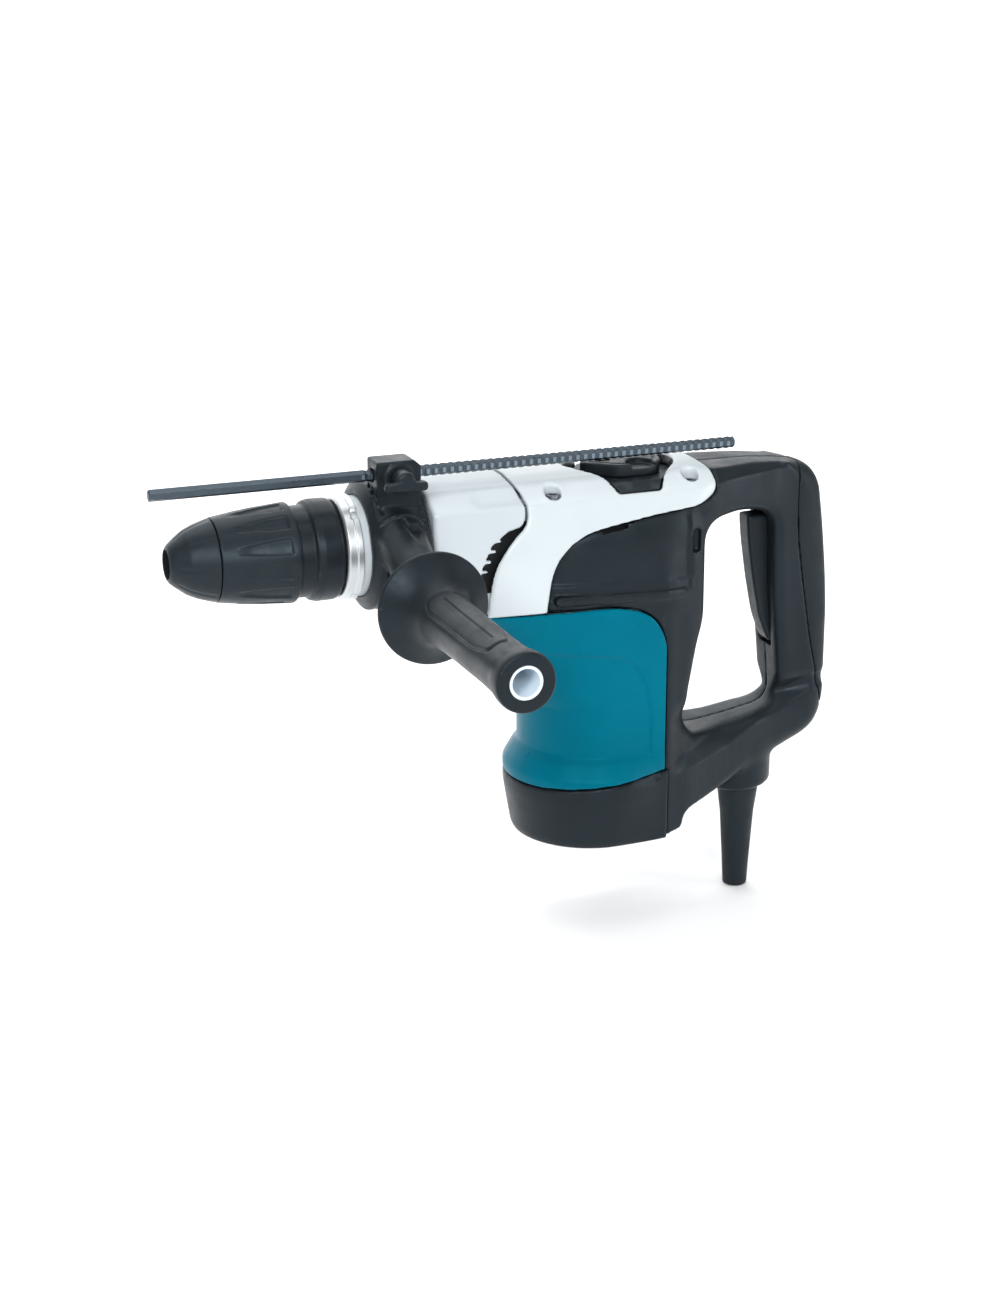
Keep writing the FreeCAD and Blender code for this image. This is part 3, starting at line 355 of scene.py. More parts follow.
def face_outwards(mesh):
    """Flips a closed mesh whose faces point inwards, which its signed volume tells."""
    mesh.calc_loop_triangles()
    spots = np.zeros(len(mesh.vertices) * 3)
    mesh.vertices.foreach_get("co", spots)
    corners = np.zeros(len(mesh.loop_triangles) * 3, np.int64)
    mesh.loop_triangles.foreach_get("vertices", corners)
    tri = spots.reshape(-1, 3)[corners.reshape(-1, 3)]
    if np.einsum("ij,ij->i", tri[:, 0], np.cross(tri[:, 1], tri[:, 2])).sum() < 0:
        mesh.flip_normals()


def lying(along, across, up):
    """Turned about the barrel axis."""
    return along, across, up


def to_grip(along, across, up):
    """Turned about the side grip's axis, which runs to -Y."""
    return GRIP_X + across, -along, GRIP_Z + up


# ----------------------------------------------------------------------- materials

LOOK = {}


def node_tree(name):
    """A new material, kept in LOOK: its node tree, its shader and the object's own
    coordinates."""
    material = bpy.data.materials.new(name)
    material.use_nodes = True
    LOOK[name] = material
    tree = material.node_tree
    place = tree.nodes.new("ShaderNodeTexCoord")
    return tree, tree.nodes["Principled BSDF"], place.outputs["Object"]


def noise(tree, where, scale, detail, rough=0.55):
    made = tree.nodes.new("ShaderNodeTexNoise")
    made.inputs["Scale"].default_value = scale
    made.inputs["Detail"].default_value = detail
    made.inputs["Roughness"].default_value = rough
    tree.links.new(where, made.inputs["Vector"])
    return made.outputs["Fac"]


def spread(tree, source, low, high, start=0.35, end=0.65):
    """Maps a 0 to 1 pattern onto a range of numbers."""
    made = tree.nodes.new("ShaderNodeMapRange")
    made.inputs["From Min"].default_value = start
    made.inputs["From Max"].default_value = end
    made.inputs["To Min"].default_value = low
    made.inputs["To Max"].default_value = high
    tree.links.new(source, made.inputs["Value"])
    return made.outputs["Result"]


def mixed(tree, factor, first, second):
    made = tree.nodes.new("ShaderNodeMix")
    made.data_type = "RGBA"
    for socket, colour in ((made.inputs[6], first), (made.inputs[7], second)):
        if isinstance(colour, tuple):
            socket.default_value = (*colour, 1)
        else:
            tree.links.new(colour, socket)
    tree.links.new(factor, made.inputs[0])
    return made.outputs[2]


def bumped(tree, shader, layers):
    """Stacks bump layers, each (pattern, distance in metres, strength)."""
    normal = None
    for height, distance, strength in layers:
        bump = tree.nodes.new("ShaderNodeBump")
        bump.inputs["Distance"].default_value = distance
        bump.inputs["Strength"].default_value = strength
        tree.links.new(height, bump.inputs["Height"])
        if normal is not None:
            tree.links.new(normal, bump.inputs["Normal"])
        normal = bump.outputs["Normal"]
    tree.links.new(normal, shader.inputs["Normal"])


def arithmetic(tree, operation, first, second=0.0):
    """A math node; each input is a number or another node's output."""
    made = tree.nodes.new("ShaderNodeMath")
    made.operation = operation
    for socket, value in zip(made.inputs, (first, second)):
        if isinstance(value, (int, float)):
            socket.default_value = value
        else:
            tree.links.new(value, socket)
    return made.outputs[0]


STEP_BLUR = 0.2


def step(tree, value, level, below, above):
    """A pattern that changes where a length in metres passes a level in millimetres."""
    return spread(tree, value, below, above, (level - STEP_BLUR) * MM, (level + STEP_BLUR) * MM)


def step_up(tree, value, level):
    return step(tree, value, level, 0, 1)


def step_down(tree, value, level):
    return step(tree, value, level, 1, 0)


def all_of(tree, *tests):
    result = tests[0]
    for test in tests[1:]:
        result = arithmetic(tree, "MULTIPLY", result, test)
    return result


def position(tree, where):
    """The x, y and z of a point, as three outputs."""
    split = tree.nodes.new("ShaderNodeSeparateXYZ")
    tree.links.new(where, split.inputs[0])
    return tuple(split.outputs)


# Dark colour painted into deep places as shade.
PAINTED_SHADE = (0.008, 0.0095, 0.011)
# Bounds of the painted shade in the lever's well, in millimetres.
WELL_FLOOR, WELL_TOP = 26.8, 39.4
WELL_FRONT, WELL_CORNER = 268, 368
# The cover's top falls away to the sides: (distance from the middle, added slope).
COVER_FALLS = [(9, 0.25), (25, 0.45)]


def lever_well_shade(tree, where):
    """Painted shade on the walls of the cover's opening round the lever, below the cover's top."""
    x, y, z = position(tree, where)
    wide = arithmetic(tree, "ABSOLUTE", y)
    level = z
    for start, fall in COVER_FALLS:
        beyond = arithmetic(tree, "MAXIMUM", arithmetic(tree, "SUBTRACT", wide, start * MM), 0.0)
        level = arithmetic(tree, "ADD", level, arithmetic(tree, "MULTIPLY", beyond, fall))
    return all_of(tree, step_down(tree, level, WELL_TOP), step_up(tree, z, WELL_FLOOR),
                  step_up(tree, x, WELL_FRONT),
                  step_down(tree, arithmetic(tree, "ADD", x, wide), WELL_CORNER))


# Bounds of the painted shade in the fin slots, in millimetres.
SLOT_DEPTH, SLOT_FRONT = 38.6, 192
SLOT_LOW, SLOT_HIGH = -34, 14.5


def fin_pocket_shade(tree, where):
    """Painted shade in the deep end of the slots between the gear housing's fins."""
    x, y, z = position(tree, where)
    return all_of(tree, step_down(tree, arithmetic(tree, "ABSOLUTE", y), SLOT_DEPTH),
                  step_up(tree, x, SLOT_FRONT), step_down(tree, z, SLOT_HIGH),
                  step_up(tree, z, SLOT_LOW))


# Half the height of the band of painted highlights on the depth rod.
LAND_HALF = 1.6


def rod_highlights(tree, where):
    """Painted highlights on the flat lands between the depth rod's notches, on its two side faces."""
    x, y, z = position(tree, where)
    turns = arithmetic(tree, "DIVIDE", arithmetic(tree, "SUBTRACT", x, TOOTH_START * MM),
                       TOOTH_PITCH * MM)
    share = arithmetic(tree, "FRACT", turns)
    height = arithmetic(tree, "ABSOLUTE", arithmetic(tree, "SUBTRACT", z, ROD_Z * MM))
    return all_of(tree, spread(tree, share, 0, 1, 0.02, 0.12), spread(tree, share, 1, 0, 0.42, 0.52),
                  step_down(tree, height, LAND_HALF), step_up(tree, x, TOOTH_START))


def edge_wear(tree, amount):
    """A pattern that is strong along outward edges, broken up by noise."""
    geometry = tree.nodes.new("ShaderNodeNewGeometry")
    place = tree.nodes.new("ShaderNodeTexCoord")
    edges = spread(tree, geometry.outputs["Pointiness"], 0.0, 1.0, 0.53, 0.6)
    patches = spread(tree, noise(tree, place.outputs["Object"], 90, 4), 0.0, amount, 0.42, 0.62)
    return arithmetic(tree, "MULTIPLY", edges, patches)


def shades(colour, tone):
    """The same colour a little darker and a little lighter."""
    return (tuple(c * (1 - tone) for c in colour), tuple(min(1, c * (1 + tone)) for c in colour))


BLUE_SHEEN = (0.25, (0.7, 0.87, 1.0))


def moulded(name, colour, worn, roughness, grain=0.00006, tone=0.12, sheen=BLUE_SHEEN):
    """Moulded plastic: fine grain, faint cloudy tone, scuffs and rubbed edges.  sheen is
    the strength and the tint of its reflections."""
    tree, shader, where = node_tree(name)
    dark, light = shades(colour, tone)
    base = mixed(tree, spread(tree, noise(tree, where, 22, 4), 0, 1), dark, light)
    base = mixed(tree, edge_wear(tree, 0.5), base, worn)
    tree.links.new(base, shader.inputs["Base Color"])
    scuffs = spread(tree, noise(tree, where, 60, 6, 0.7), roughness - 0.06, roughness + 0.1)
    tree.links.new(scuffs, shader.inputs["Roughness"])
    shader.inputs["Specular IOR Level"].default_value = sheen[0]
    shader.inputs["Specular Tint"].default_value = (*sheen[1], 1)
    bumped(tree, shader, [(noise(tree, where, 1500, 2), grain, 0.5),
                          (noise(tree, where, 160, 3), grain * 3, 0.15)])


SCRATCH_DEPTH = 0.00004


def metal(name, colour, roughness, stretch=None, dark=(0.05, 0.05, 0.055), highlight_where=None,
          spotless=False):
    """Machined or cast metal, with oily darker patches and fine scratches.  A highlight
    mask, if given, marks the places that get a painted highlight in a lighter colour."""
    tree, shader, where = node_tree(name)
    lines = where
    if stretch:
        warp = tree.nodes.new("ShaderNodeMapping")
        warp.inputs["Scale"].default_value = stretch
        tree.links.new(where, warp.inputs["Vector"])
        lines = warp.outputs["Vector"]
    stains = spread(tree, noise(tree, where, 70, 5), 0, 0.35, 0.5, 0.75)
    base = mixed(tree, stains, colour, tuple((c + d) / 2 for c, d in zip(colour, dark)))
    if highlight_where:
        # Painted highlight: a lighter colour where the highlight mask marks.
        base = mixed(tree, highlight_where(tree, where), base, (0.2, 0.25, 0.3))
    tree.links.new(base, shader.inputs["Base Color"])
    shader.inputs["Metallic"].default_value = 1.0
    if spotless:
        tree.links.new(spread(tree, noise(tree, where, 40, 2), roughness, roughness + 0.05),
                       shader.inputs["Roughness"])
        return
    tree.links.new(spread(tree, noise(tree, lines, 500, 4), roughness - 0.08, roughness + 0.12),
                   shader.inputs["Roughness"])
    bumped(tree, shader, [(noise(tree, lines, 900, 3), SCRATCH_DEPTH, 0.18)])


def cast_paint(name, colour, roughness, shade_where, grain=0.00005):
    """Painted casting: a smooth coat with orange peel and a few rubbed edges, and
    painted shade, a dark colour, in the deep places that its shade mask marks."""
    tree, shader, where = node_tree(name)
    dark, _ = shades(colour, 0.04)
    base = mixed(tree, spread(tree, noise(tree, where, 18, 3), 0, 1), dark, colour)
    base = mixed(tree, edge_wear(tree, 0.25), base, (0.93, 0.94, 0.95))
    # Painted shade: the places the shade mask marks take the dark colour.
    base = mixed(tree, shade_where(tree, where), base, PAINTED_SHADE)
    tree.links.new(base, shader.inputs["Base Color"])
    tree.links.new(spread(tree, noise(tree, where, 45, 5), roughness - 0.05, roughness + 0.08),
                   shader.inputs["Roughness"])
    shader.inputs["Coat Weight"].default_value = 0.25
    shader.inputs["Coat Roughness"].default_value = 0.2
    bumped(tree, shader, [(noise(tree, where, 420, 2), grain, 0.35),
                          (noise(tree, where, 1800, 2), grain * 0.5, 0.25)])


RUBBER_WORN = (0.03, 0.036, 0.042)
moulded("black_plastic", (0.0075, 0.0102, 0.0125), (0.045, 0.056, 0.068), 0.37)
moulded("chuck_plastic", (0.0105, 0.0142, 0.0172), (0.05, 0.06, 0.07), 0.37)
moulded("soft_grip", (0.0085, 0.011, 0.0132), RUBBER_WORN, 0.48, grain=0.00009)
moulded("guard_rubber", (0.0085, 0.0112, 0.0135), RUBBER_WORN, 0.5)
moulded("teal_plastic", (0.0, 0.112, 0.172), (0.0, 0.19, 0.25), 0.32, tone=0.06,
        sheen=(0.16, (0.1, 0.85, 1.0)))
# Both casings get painted shade in their deep places.
cast_paint("cover_paint", (0.5, 0.55, 0.575), 0.34, lever_well_shade)
cast_paint("housing_cast", (0.47, 0.52, 0.55), 0.42, fin_pocket_shade, grain=0.00008)
metal("bright_ring", (0.6, 0.63, 0.65), 0.36, dark=(0.54, 0.57, 0.59), spotless=True)
metal("gear_steel", (0.56, 0.57, 0.59), 0.3)
metal("hardened_steel", (0.2, 0.21, 0.23), 0.34)
metal("bolt_steel", (0.42, 0.43, 0.45), 0.32)
metal("core_iron", (0.22, 0.2, 0.19), 0.45, stretch=(1, 1, 12))
metal("copper", (0.66, 0.3, 0.15), 0.35, stretch=(1, 1, 9))
metal("brush_brass", (0.66, 0.5, 0.22), 0.33)
moulded("carbon", (0.02, 0.02, 0.02), (0.07, 0.07, 0.07), 0.6)
moulded("lever_grey", (0.009, 0.0115, 0.0135), (0.09, 0.1, 0.11), 0.36)
moulded("button_dark", (0.012, 0.014, 0.017), (0.06, 0.06, 0.07), 0.3)
moulded("fan_plastic", (0.05, 0.05, 0.055), (0.12, 0.12, 0.12), 0.5)
moulded("liner_plastic", (0.66, 0.76, 0.84), (0.85, 0.88, 0.9), 0.35, tone=0.03)
moulded("seal_rubber", (0.02, 0.02, 0.02), (0.05, 0.05, 0.05), 0.6)
# The depth rod gets painted highlights on the lands of its side faces.
metal("rod_steel", (0.075, 0.095, 0.115), 0.34, stretch=(0.3, 1, 1), highlight_where=rod_highlights)

for node in frame["record"]["subparts"]:
    carried = frame["nodes"][node["node"]]
    carried.data.materials.clear()
    carried.data.materials.append(LOOK[node["material_slot"]])

# ------------------------------------------------------------- outlines of the casing

SEAM_Z = -46.5
DRUM_TOP_RADIUS = 50.5


def both_sides(points):
    """A left half and its mirror image, as one outline."""
    return points + [(-point[0], *point[1:]) for point in reversed(points)]


TOP_SECTION = eased(both_sides([
    (-51, -235), (-DRUM_TOP_RADIUS, SEAM_Z), (-47, -5), (-39.6, 26, 1.5), (-25, 37), (-9, 41),
]), 5)
HALF_WIDTH = [
    (195, 43.5), (235, 48), (290, 50), (328, DRUM_TOP_RADIUS), (350, 43.5), (369, 36), (385, 31),
    (400, 27), (425, 20.5), (440, 18.5), (475, 18.5),
]
COVER_EDGE = [
    (318, 11.3), (294, 7.8), (277, 5.2), (267, 1.6), (257.5, -3.9), (250.5, -12), (246, -22),
    (242.5, SEAM_Z, 1),
]
COVER_SIDE = eased([
    (223.5, 46), (352, 46), (364, 40, 4), (368.8, 35, 3), (368.8, 22, 5), (357, 15.2),
] + COVER_EDGE + [
    (202, SEAM_Z, 1), (203.5, -31), (206, -17), (211, -6.6), (219.8, 5.4), (230.6, 13.5), (231, 28),
], 7)
MOTOR_EDGE = [(284, SEAM_Z, 3), (298, -48), (311, -51.7), (321, -59)]
HANDLE_SIDE = eased(COVER_EDGE[::-1] + [
    (357, 15.2, 7), (368.8, 22, 5), (368.8, 35.8, 1), (406, 35.5),
    (434, 33), (451, 29.5), (461, 17), (465, -12), (468.5, -45), (470.5, -75), (470.5, -142),
    (466, -159), (456, -169), (432, -179), (385, -192.5), (352, -200, 3), (347, -203.5, 3),
    (344.5, -213, 3), (331, -216, 1), (331, -166, 0.5), (328.8, -166, 0.5), (328.8, -74),
] + MOTOR_EDGE[::-1], 9)
HANDLE_HOLE = eased([
    (362.5, -8), (370, 1), (392, 4), (412, 1), (421, -6), (423, -60), (428, -110),
    (430, -135), (424, -143.5), (400, -148), (372, -152), (358, -151), (349, -138),
    (349, -118), (357, -82), (362.5, -66),
], 8)
PAD_REGION = eased([
    (442, 45), (440, 8), (441, -20), (445, -48), (453, -96), (466, -152), (490, -152), (490, 45),
], 12)
MOTOR_SIDE = eased([(203.5, SEAM_Z, 1)] + MOTOR_EDGE + [
    (328.5, -74), (328.5, -166, 0.5), (233, -174.5, 2), (225, -174.5, 2), (225, -140), (241, -119),
], 8)
MOTOR_FRONT = [(203.5, 0), (203.5, SEAM_Z), (241, -119), (225, -140), (225, -220)]
BELT = [(225, -174.9), (233, -174.9), (328.5, -166.4), (331, -166.2)]
BASE_SIDE = eased(BELT + [(331, -216.4), (322, -218), (225, -218)], 1)
LEVER_OPENING = eased([
    (271, 0), (277, -10), (288, -20), (294, -30), (301, -46), (322, -46), (334, -26),
    (347, -12), (350, 0), (347, 12), (334, 26), (322, 46), (301, 46), (294, 30), (288, 20),
    (277, 10),
], 6)
# Half of the open seam between two shells.
GAP = 0.32


def half_width(x):
    return curve(x, HALF_WIDTH, 6)


def section(grid, points):
    """Distance from an outline drawn in (y, z)."""
    return outline(grid.y[0], grid.z[0], points)[None]


def side(grid, points):
    """Distance from an outline drawn in (x, z)."""
    return outline(grid.x[:, 0], grid.z[:, 0], points)[:, None, :]


def side_line(grid, points):
    return line_distance(grid.x[:, 0], grid.z[:, 0], points)[:, None, :]


def plan(x, y, points):
    """Distance from an outline drawn in (x, y)."""
    return outline(x[:, :, 0], y[:, :, 0], points)[:, :, None]


def screws(node, axes):
    """The middle of each screw of a node, on the two axes across it, and its top."""
    spots = np.array([v.co for v in frame["nodes"][node].data.vertices]) / MM
    flat = spots[:, axes]
    found = []
    for spot in flat:
        if all(math.dist(spot, screw[:2]) > 15 for screw in found):
            near = np.hypot(*(flat - spot).T) < 12
            middle = (flat[near].min(0) + flat[near].max(0)) / 2
            found.append((middle[0], middle[1], spots[near, 2].max()))
    return found


COVER_SCREWS = screws("cover_screws", [0, 1])
SCREW_HOLE = 2.9

# ---------------------------------------------------------------- silver housing cover


def housing_cover():
    grid = Grid((200, -50, SEAM_Z - 1), (371, 50, 42), 1.15)
    x, y, z = grid.axes
    top_section = section(grid, TOP_SECTION)
    wall = 3.2
    outside = soft_max(side(grid, COVER_SIDE) + GAP, top_section, 1.4)
    outside = soft_max(outside, np.abs(y) - half_width(x), 3)
    room = soft_max(top_section + wall, np.abs(y) - (half_width(x) - wall), 2)
    room = soft_max(room, z - 33, 2)
    field = cut(outside, room, 0.6)
    flare = ramp(z, 33, 42) * 1.2
    field = cut(field, soft_max(plan(x, y, LEVER_OPENING) - flare, 27 - z, 1), 1.2)
    for cx, cy, top in COVER_SCREWS:
        radial = np.hypot(x - cx, y - cy)
        post = soft_max(radial - 8.2, np.maximum(24.5 - z, top_section), 0.8)
        field = soft_min(field, post, 1)
        well = radial - 5.6 - ramp(z, top + 3, 40) * 1.2
        field = cut(field, soft_max(well, top - 2.8 - z, 0.8), 1.0)
        field = cut(field, radial - SCREW_HOLE, 0.5)
    shell("housing_cover", "housing", "cover_paint", field, grid, 0.4)


# ---------------------------------------------------------------- rear handle and panels

BAR = [(251, -38.9), (341, -42.3)]
LEDGE = [(240, -28.8), (348, -33.2)]
ARM_CREASE = [(330, -176), (365, -168), (384, -163), (410, -151), (436, -144), (456, -134)]


def height_over(x, z, line):
    """How far a point is above a line of (x, z) points."""
    return z - np.interp(x, *zip(*line)).astype(np.float32)


def casing(grid):
    """The rear casing before it is parted, with the ledges and hollows of its side wall."""
    x, y, z = grid.axes
    width = half_width(x)
    cover_gap = side(grid, COVER_SIDE)
    panel = ramp(-x, -372, -352) * ramp(-z, -20, -8)
    tuck = 5.5 * np.exp(-np.maximum(cover_gap, 0) / 13) * panel
    above_ledge = 1.5 * ramp(height_over(x, z, LEDGE), -0.5, 0.7) * ramp(-x, -352, -344)
    above_ledge = above_ledge * ramp(-z, -4, 14)
    above_bar = 1.3 * ramp(height_over(x, z, BAR), -1, 1) * ramp(-x, -349, -345)
    slope = np.maximum(height_over(x, z, ARM_CREASE), 0) * 0.75
    slope = np.minimum(slope, 8) * ramp(x, 331, 352) * ramp(-z, 118, 136)
    column = 1.2 * ramp(x, 324, 327) * ramp(-z, 52, 62) * ramp(-x, -352, -336)
    wall = np.abs(y) - (width - tuck - (above_ledge + above_bar) - slope - column)
    shoulder = ramp(z, 2, 18) * ramp(-x, -446, -428)
    bend = 1.6 + 15 * ramp(x, 350, 430) * (1 - shoulder)
    field = soft_max(side(grid, HANDLE_SIDE) + GAP, wall, bend)
    chamfer = (np.abs(y) - width) * 0.62 + (z - 28 - (x - 371) * 0.03) * 0.78
    field = soft_max(field, chamfer - 12 * ramp(x, 424, 446), 0.8)
    field = soft_max(field, section(grid, TOP_SECTION), 4)
    field = cut(field, side(grid, HANDLE_HOLE), 9)
    bar = side_line(grid, BAR) - 3.1
    bar = soft_max(bar, np.abs(y) - (width + 0.7), 1.2)
    bar = np.maximum(bar, 40 - np.abs(y))
    field = soft_min(field, bar, 0.8)
    boss_floor = -202.5 - z + (x - GUARD_X) * 0.1
    boss = soft_max(np.hypot(x - GUARD_X, y) - 22.5, np.maximum(boss_floor, z + 165), 5)
    field = soft_min(field, boss, 4)
    slot = box_field(x, np.abs(y), z, (349.5, 36, -17), (355.5, 60, -1.5), 1.5)
    return cut(field, slot, 0.8)


def handle():
    grid = Grid((240, -52, -218), (472, 52, 38), 1.3)
    x, y, z = grid.axes
    body = casing(grid)
    region = side(grid, PAD_REGION)
    pad_depth, pad_room, pad_gap, seam = 2.6, 2.9, 0.3, 0.22
    pad = cut(soft_max(body, region + pad_gap, 0.8), body + pad_depth, 0.5)
    field = soft_max(body, np.minimum(-region, body + pad_room), 0.8)
    drum = soft_max(np.hypot(x - MOTOR_X, y) - 43.2, -50 - z, 0.6)
    gears = box_field(x, y, z, (215, -38.2, -52), (332, 38.2, 28.7), 1)
    slot = box_field(x, y, z, (395, -8.6, -101.5), (442, 8.6, -0.5), 2)
    switch = box_field(x, y, z, (440, -11, -82), (462, 11, -26), 1)
    neck = soft_max(np.hypot(x - GUARD_X, y) - 8.3, np.maximum(z + 174, -225 - z), 0.5)
    for room in (drum, gears, slot, switch, neck):
        field = cut(field, room, 0.8)
    for sx, sz, _ in screws("handle_screws", [0, 2]):
        radial = np.hypot(x - sx, z - sz)
        field = cut(field, soft_max(radial - 4.7, 9.8 - y, 0.6), 0.8)
    for name, keep in (("left", y + seam), ("right", seam - y)):
        shell("handle_" + name, "housing", "black_plastic", soft_max(field, keep, 0.8), grid, 0.32)
    shell("grip_pad", "housing", "soft_grip", pad, grid, 0.4)


# ----------------------------------------------------------------- motor and its base

EMBOSS = eased([
    (228, -73), (243, -75), (294, -81), (307, -88), (315, -105), (318, -123), (318.5, -158),
    (228, -158),
], 12)
NOSE_FOOT, NOSE_RISE = -119, 72.5
NOSE_REACH, NOSE_FLAT = 38, 37
DRUM_RADIUS = [(-218, 59), (-167, 59), (-153.5, 51.3), (-152.5, 50.6), (-40, DRUM_TOP_RADIUS)]
BASE_CHAMFER = [(287, -164), (289, -171.8), (321, -172.4), (325, -170), (325, -160)]
BASE_RADIUS = [(-219, 49.5), (-217, 51.8), (-212, 53.8), (-182, 58.8), (-160, 59)]
BASE_SCREWS = [(x, y) for x in (263, 321) for y in (-27, 27)]


def stadium(x, y, radius):
    """Distance from a shape that is round in front of the motor axis and straight behind."""
    behind = x - np.clip(x, MOTOR_X, 420)
    extra = (radius - DRUM_TOP_RADIUS) * (1 - ramp(x, MOTOR_X, 336))
    return np.hypot(behind, y) - (DRUM_TOP_RADIUS + extra)


def nose(x, y, z):
    """The housing in front of the motor axis: round at its foot, reaching forward and
    growing a flat front towards the top."""
    rise = np.clip((z - NOSE_FOOT) / NOSE_RISE, 0, 1)
    reach = DRUM_TOP_RADIUS + NOSE_REACH * rise
    flat = NOSE_FLAT * rise
    forward = np.maximum(MOTOR_X - x, 0) / reach
    across = np.maximum(np.abs(y) - flat, 0) / (DRUM_TOP_RADIUS - flat)
    steepness = 2 * np.hypot(forward / reach, across / (DRUM_TOP_RADIUS - flat))
    return (forward ** 2 + across ** 2 - 1) / np.maximum(steepness, 0.01)


def motor_housing():
    grid = Grid((202, -60, -176), (330, 60, SEAM_Z), 1.3)
    x, y, z = grid.axes
    wall = 3.4
    skin = np.minimum(stadium(x, y, curve(z, DRUM_RADIUS, 1)), nose(x, y, z))
    sunk = ramp(-side(grid, EMBOSS), -0.4, 1.6) * ramp(z, -156, -152.5)
    skin = skin + 1.3 * sunk
    field = soft_max(skin, side(grid, MOTOR_SIDE) + GAP, 1.3)
    room = soft_max(skin + wall, wall - side_line(grid, MOTOR_FRONT), 2)
    field = cut(field, room, 0.6)
    shell("motor_housing", "housing", "teal_plastic", field, grid, 0.35)


def bottom_cover():
    grid = Grid((232, -60, -219), (332, 60, -165), 1.2)
    x, y, z = grid.axes
    skin = stadium(x, y, curve(z, BASE_RADIUS, 1))
    skin = skin + 1.6 * ramp(-side(grid, BASE_CHAMFER), -0.3, 1.2)
    field = soft_max(skin, side(grid, BASE_SIDE) + GAP, 1.2)
    field = soft_max(field, -217.8 - z, 3)
    room = soft_max(skin + 3.6, -214.5 - z, 1)
    field = cut(field, room, 0.6)
    seat = np.hypot(x - MOTOR_X, y)
    holder = soft_max(soft_max(seat - 14, -216 - z, 0.5), z + 183, 0.5)
    field = soft_min(field, holder, 1)
    field = cut(field, soft_max(seat - 11.2, -194 - z, 0.5), 0.5)
    for sx, sy in BASE_SCREWS:
        radial = np.hypot(x - sx, y - sy)
        post = soft_max(soft_max(radial - 6.5, -217 - z, 0.5), z + 188, 0.5)
        field = soft_min(field, post, 0.8)
        field = cut(field, soft_max(radial - 4.4, z + 212.6, 0.5), 0.7)
        field = cut(field, radial - 2.2, 0.4)
    for middle in (-18, -9, 9, 18):
        vent = box_field(x, y - middle, z, (276, -2, -222), (308, 2, -212), 1)
        field = cut(field, vent, 0.7)
    shell("bottom_cover", "housing", "black_plastic", field, grid, 0.35)


# ------------------------------------------------------------------------ gear housing

FIN_POCKET = eased([(217, 9.8), (238, 15), (238, -30), (196, -30), (199, -14), (206, 2)], 2)
# Height and front end of each fin, and half a fin's thickness.
FINS = [(4.2, 208), (-2.4, 204), (-9, 201), (-15.6, 198.5)]
FIN_HALF = 0.9
BOX_SECTION = eased(both_sides([
    (-37.5, -46), (-40.6, -20), (-40.8, 5), (-39, 25.5, 1.2), (-25, 36), (-9, 40.3),
]), 4)


def gear_housing():
    grid = Grid((111, -42, -47), (361, 42, 42), 1.15)
    x, y, z = grid.axes
    radial = np.hypot(y, z)
    barrel = soft_max(radial - 33, np.abs(x - 142) - 30, 1)
    box = section(grid, BOX_SECTION)
    block = soft_max(box, np.abs(x - 196) - 29.5, 3)
    reach = soft_max(box, np.abs(x - 215) - 23, 3)
    reach = soft_max(reach, 1.1 - side(grid, COVER_SIDE), 0.8)
    block = np.minimum(block, reach)
    rear = box_field(x, y, z, (220, -34, -46.2), (326, 34, 24), 2)
    field = soft_min(soft_min(barrel, block, 2), rear, 2)
    pocket = soft_max(side(grid, FIN_POCKET), 33 - np.abs(y), 1)
    slats = np.full(grid.shape, 50, np.float32)
    for height, front in FINS:
        slat = box_field(x, np.abs(y), z - (x - front) * 0.05, (front - 14, 30, height - FIN_HALF),
                         (front + 4.5, 41.2, height + FIN_HALF), 0.6)
        slats = np.minimum(slats, slat)
    field = soft_min(cut(field, pocket, 0.8), soft_max(slats, block, 0.6), 0.5)
    dimple = ball_tube(x, np.abs(y), z, (203, 47.5, 51.4), (250, 47.5, 51.4), 27, 27)
    field = cut(field, dimple, 0.8)
    mark = np.abs(np.hypot(x - 188, z - 15.6) - 4.1) - 0.6
    field = cut(field, soft_max(mark, 39.9 - np.abs(y), 0.4), 0.5)
    lugs = box_field(x, np.abs(y), z, (322, 24, 16.6), (360, 33.6, 24), 1)
    field = soft_min(field, lugs, 1)
    # Rooms for the crank, the bevel gears, the flat gears and the spindle, then the bores
    # for the crankshaft, the upright shaft and the mode lever's stem.
    rooms = [
        box_field(x, y, z, (170, -30, -20), (322, 30, 29), 1.5),
        box_field(x, y, z, (170, -30, -32), (226, 30, 19), 1.5),
        box_field(x, y, z, (170, -31.5, -60), (322, 31.5, -39.3), 1),
        soft_max(radial - 29, x - 176, 1),
        soft_max(np.hypot(x - CRANK_X, y) - 16.2, z, 0.6),
        soft_max(np.hypot(x - UPRIGHT_X, y) - 5.4, z + 25, 0.6),
        np.maximum(np.hypot(x - LEVER_X, y) - 9, 20 - z),
    ]
    for room in rooms:
        field = cut(field, room, 0.6)
    for cx, cy, _ in COVER_SCREWS:
        field = cut(field, np.maximum(np.hypot(x - cx, y - cy) - SCREW_HOLE, 10 - z), 0.4)
    shell("gear_housing", "housing", "housing_cast", field, grid, 0.3)


# ------------------------------------------------------------- side-handle clamp and neck

NECK_ROOT = np.array([145, -33, 12])
NECK_END = np.array([GRIP_X, -108, GRIP_Z + 1])
TOWER_TOP, TOWER_Y = 60.8, -18.5
TEETH = 64


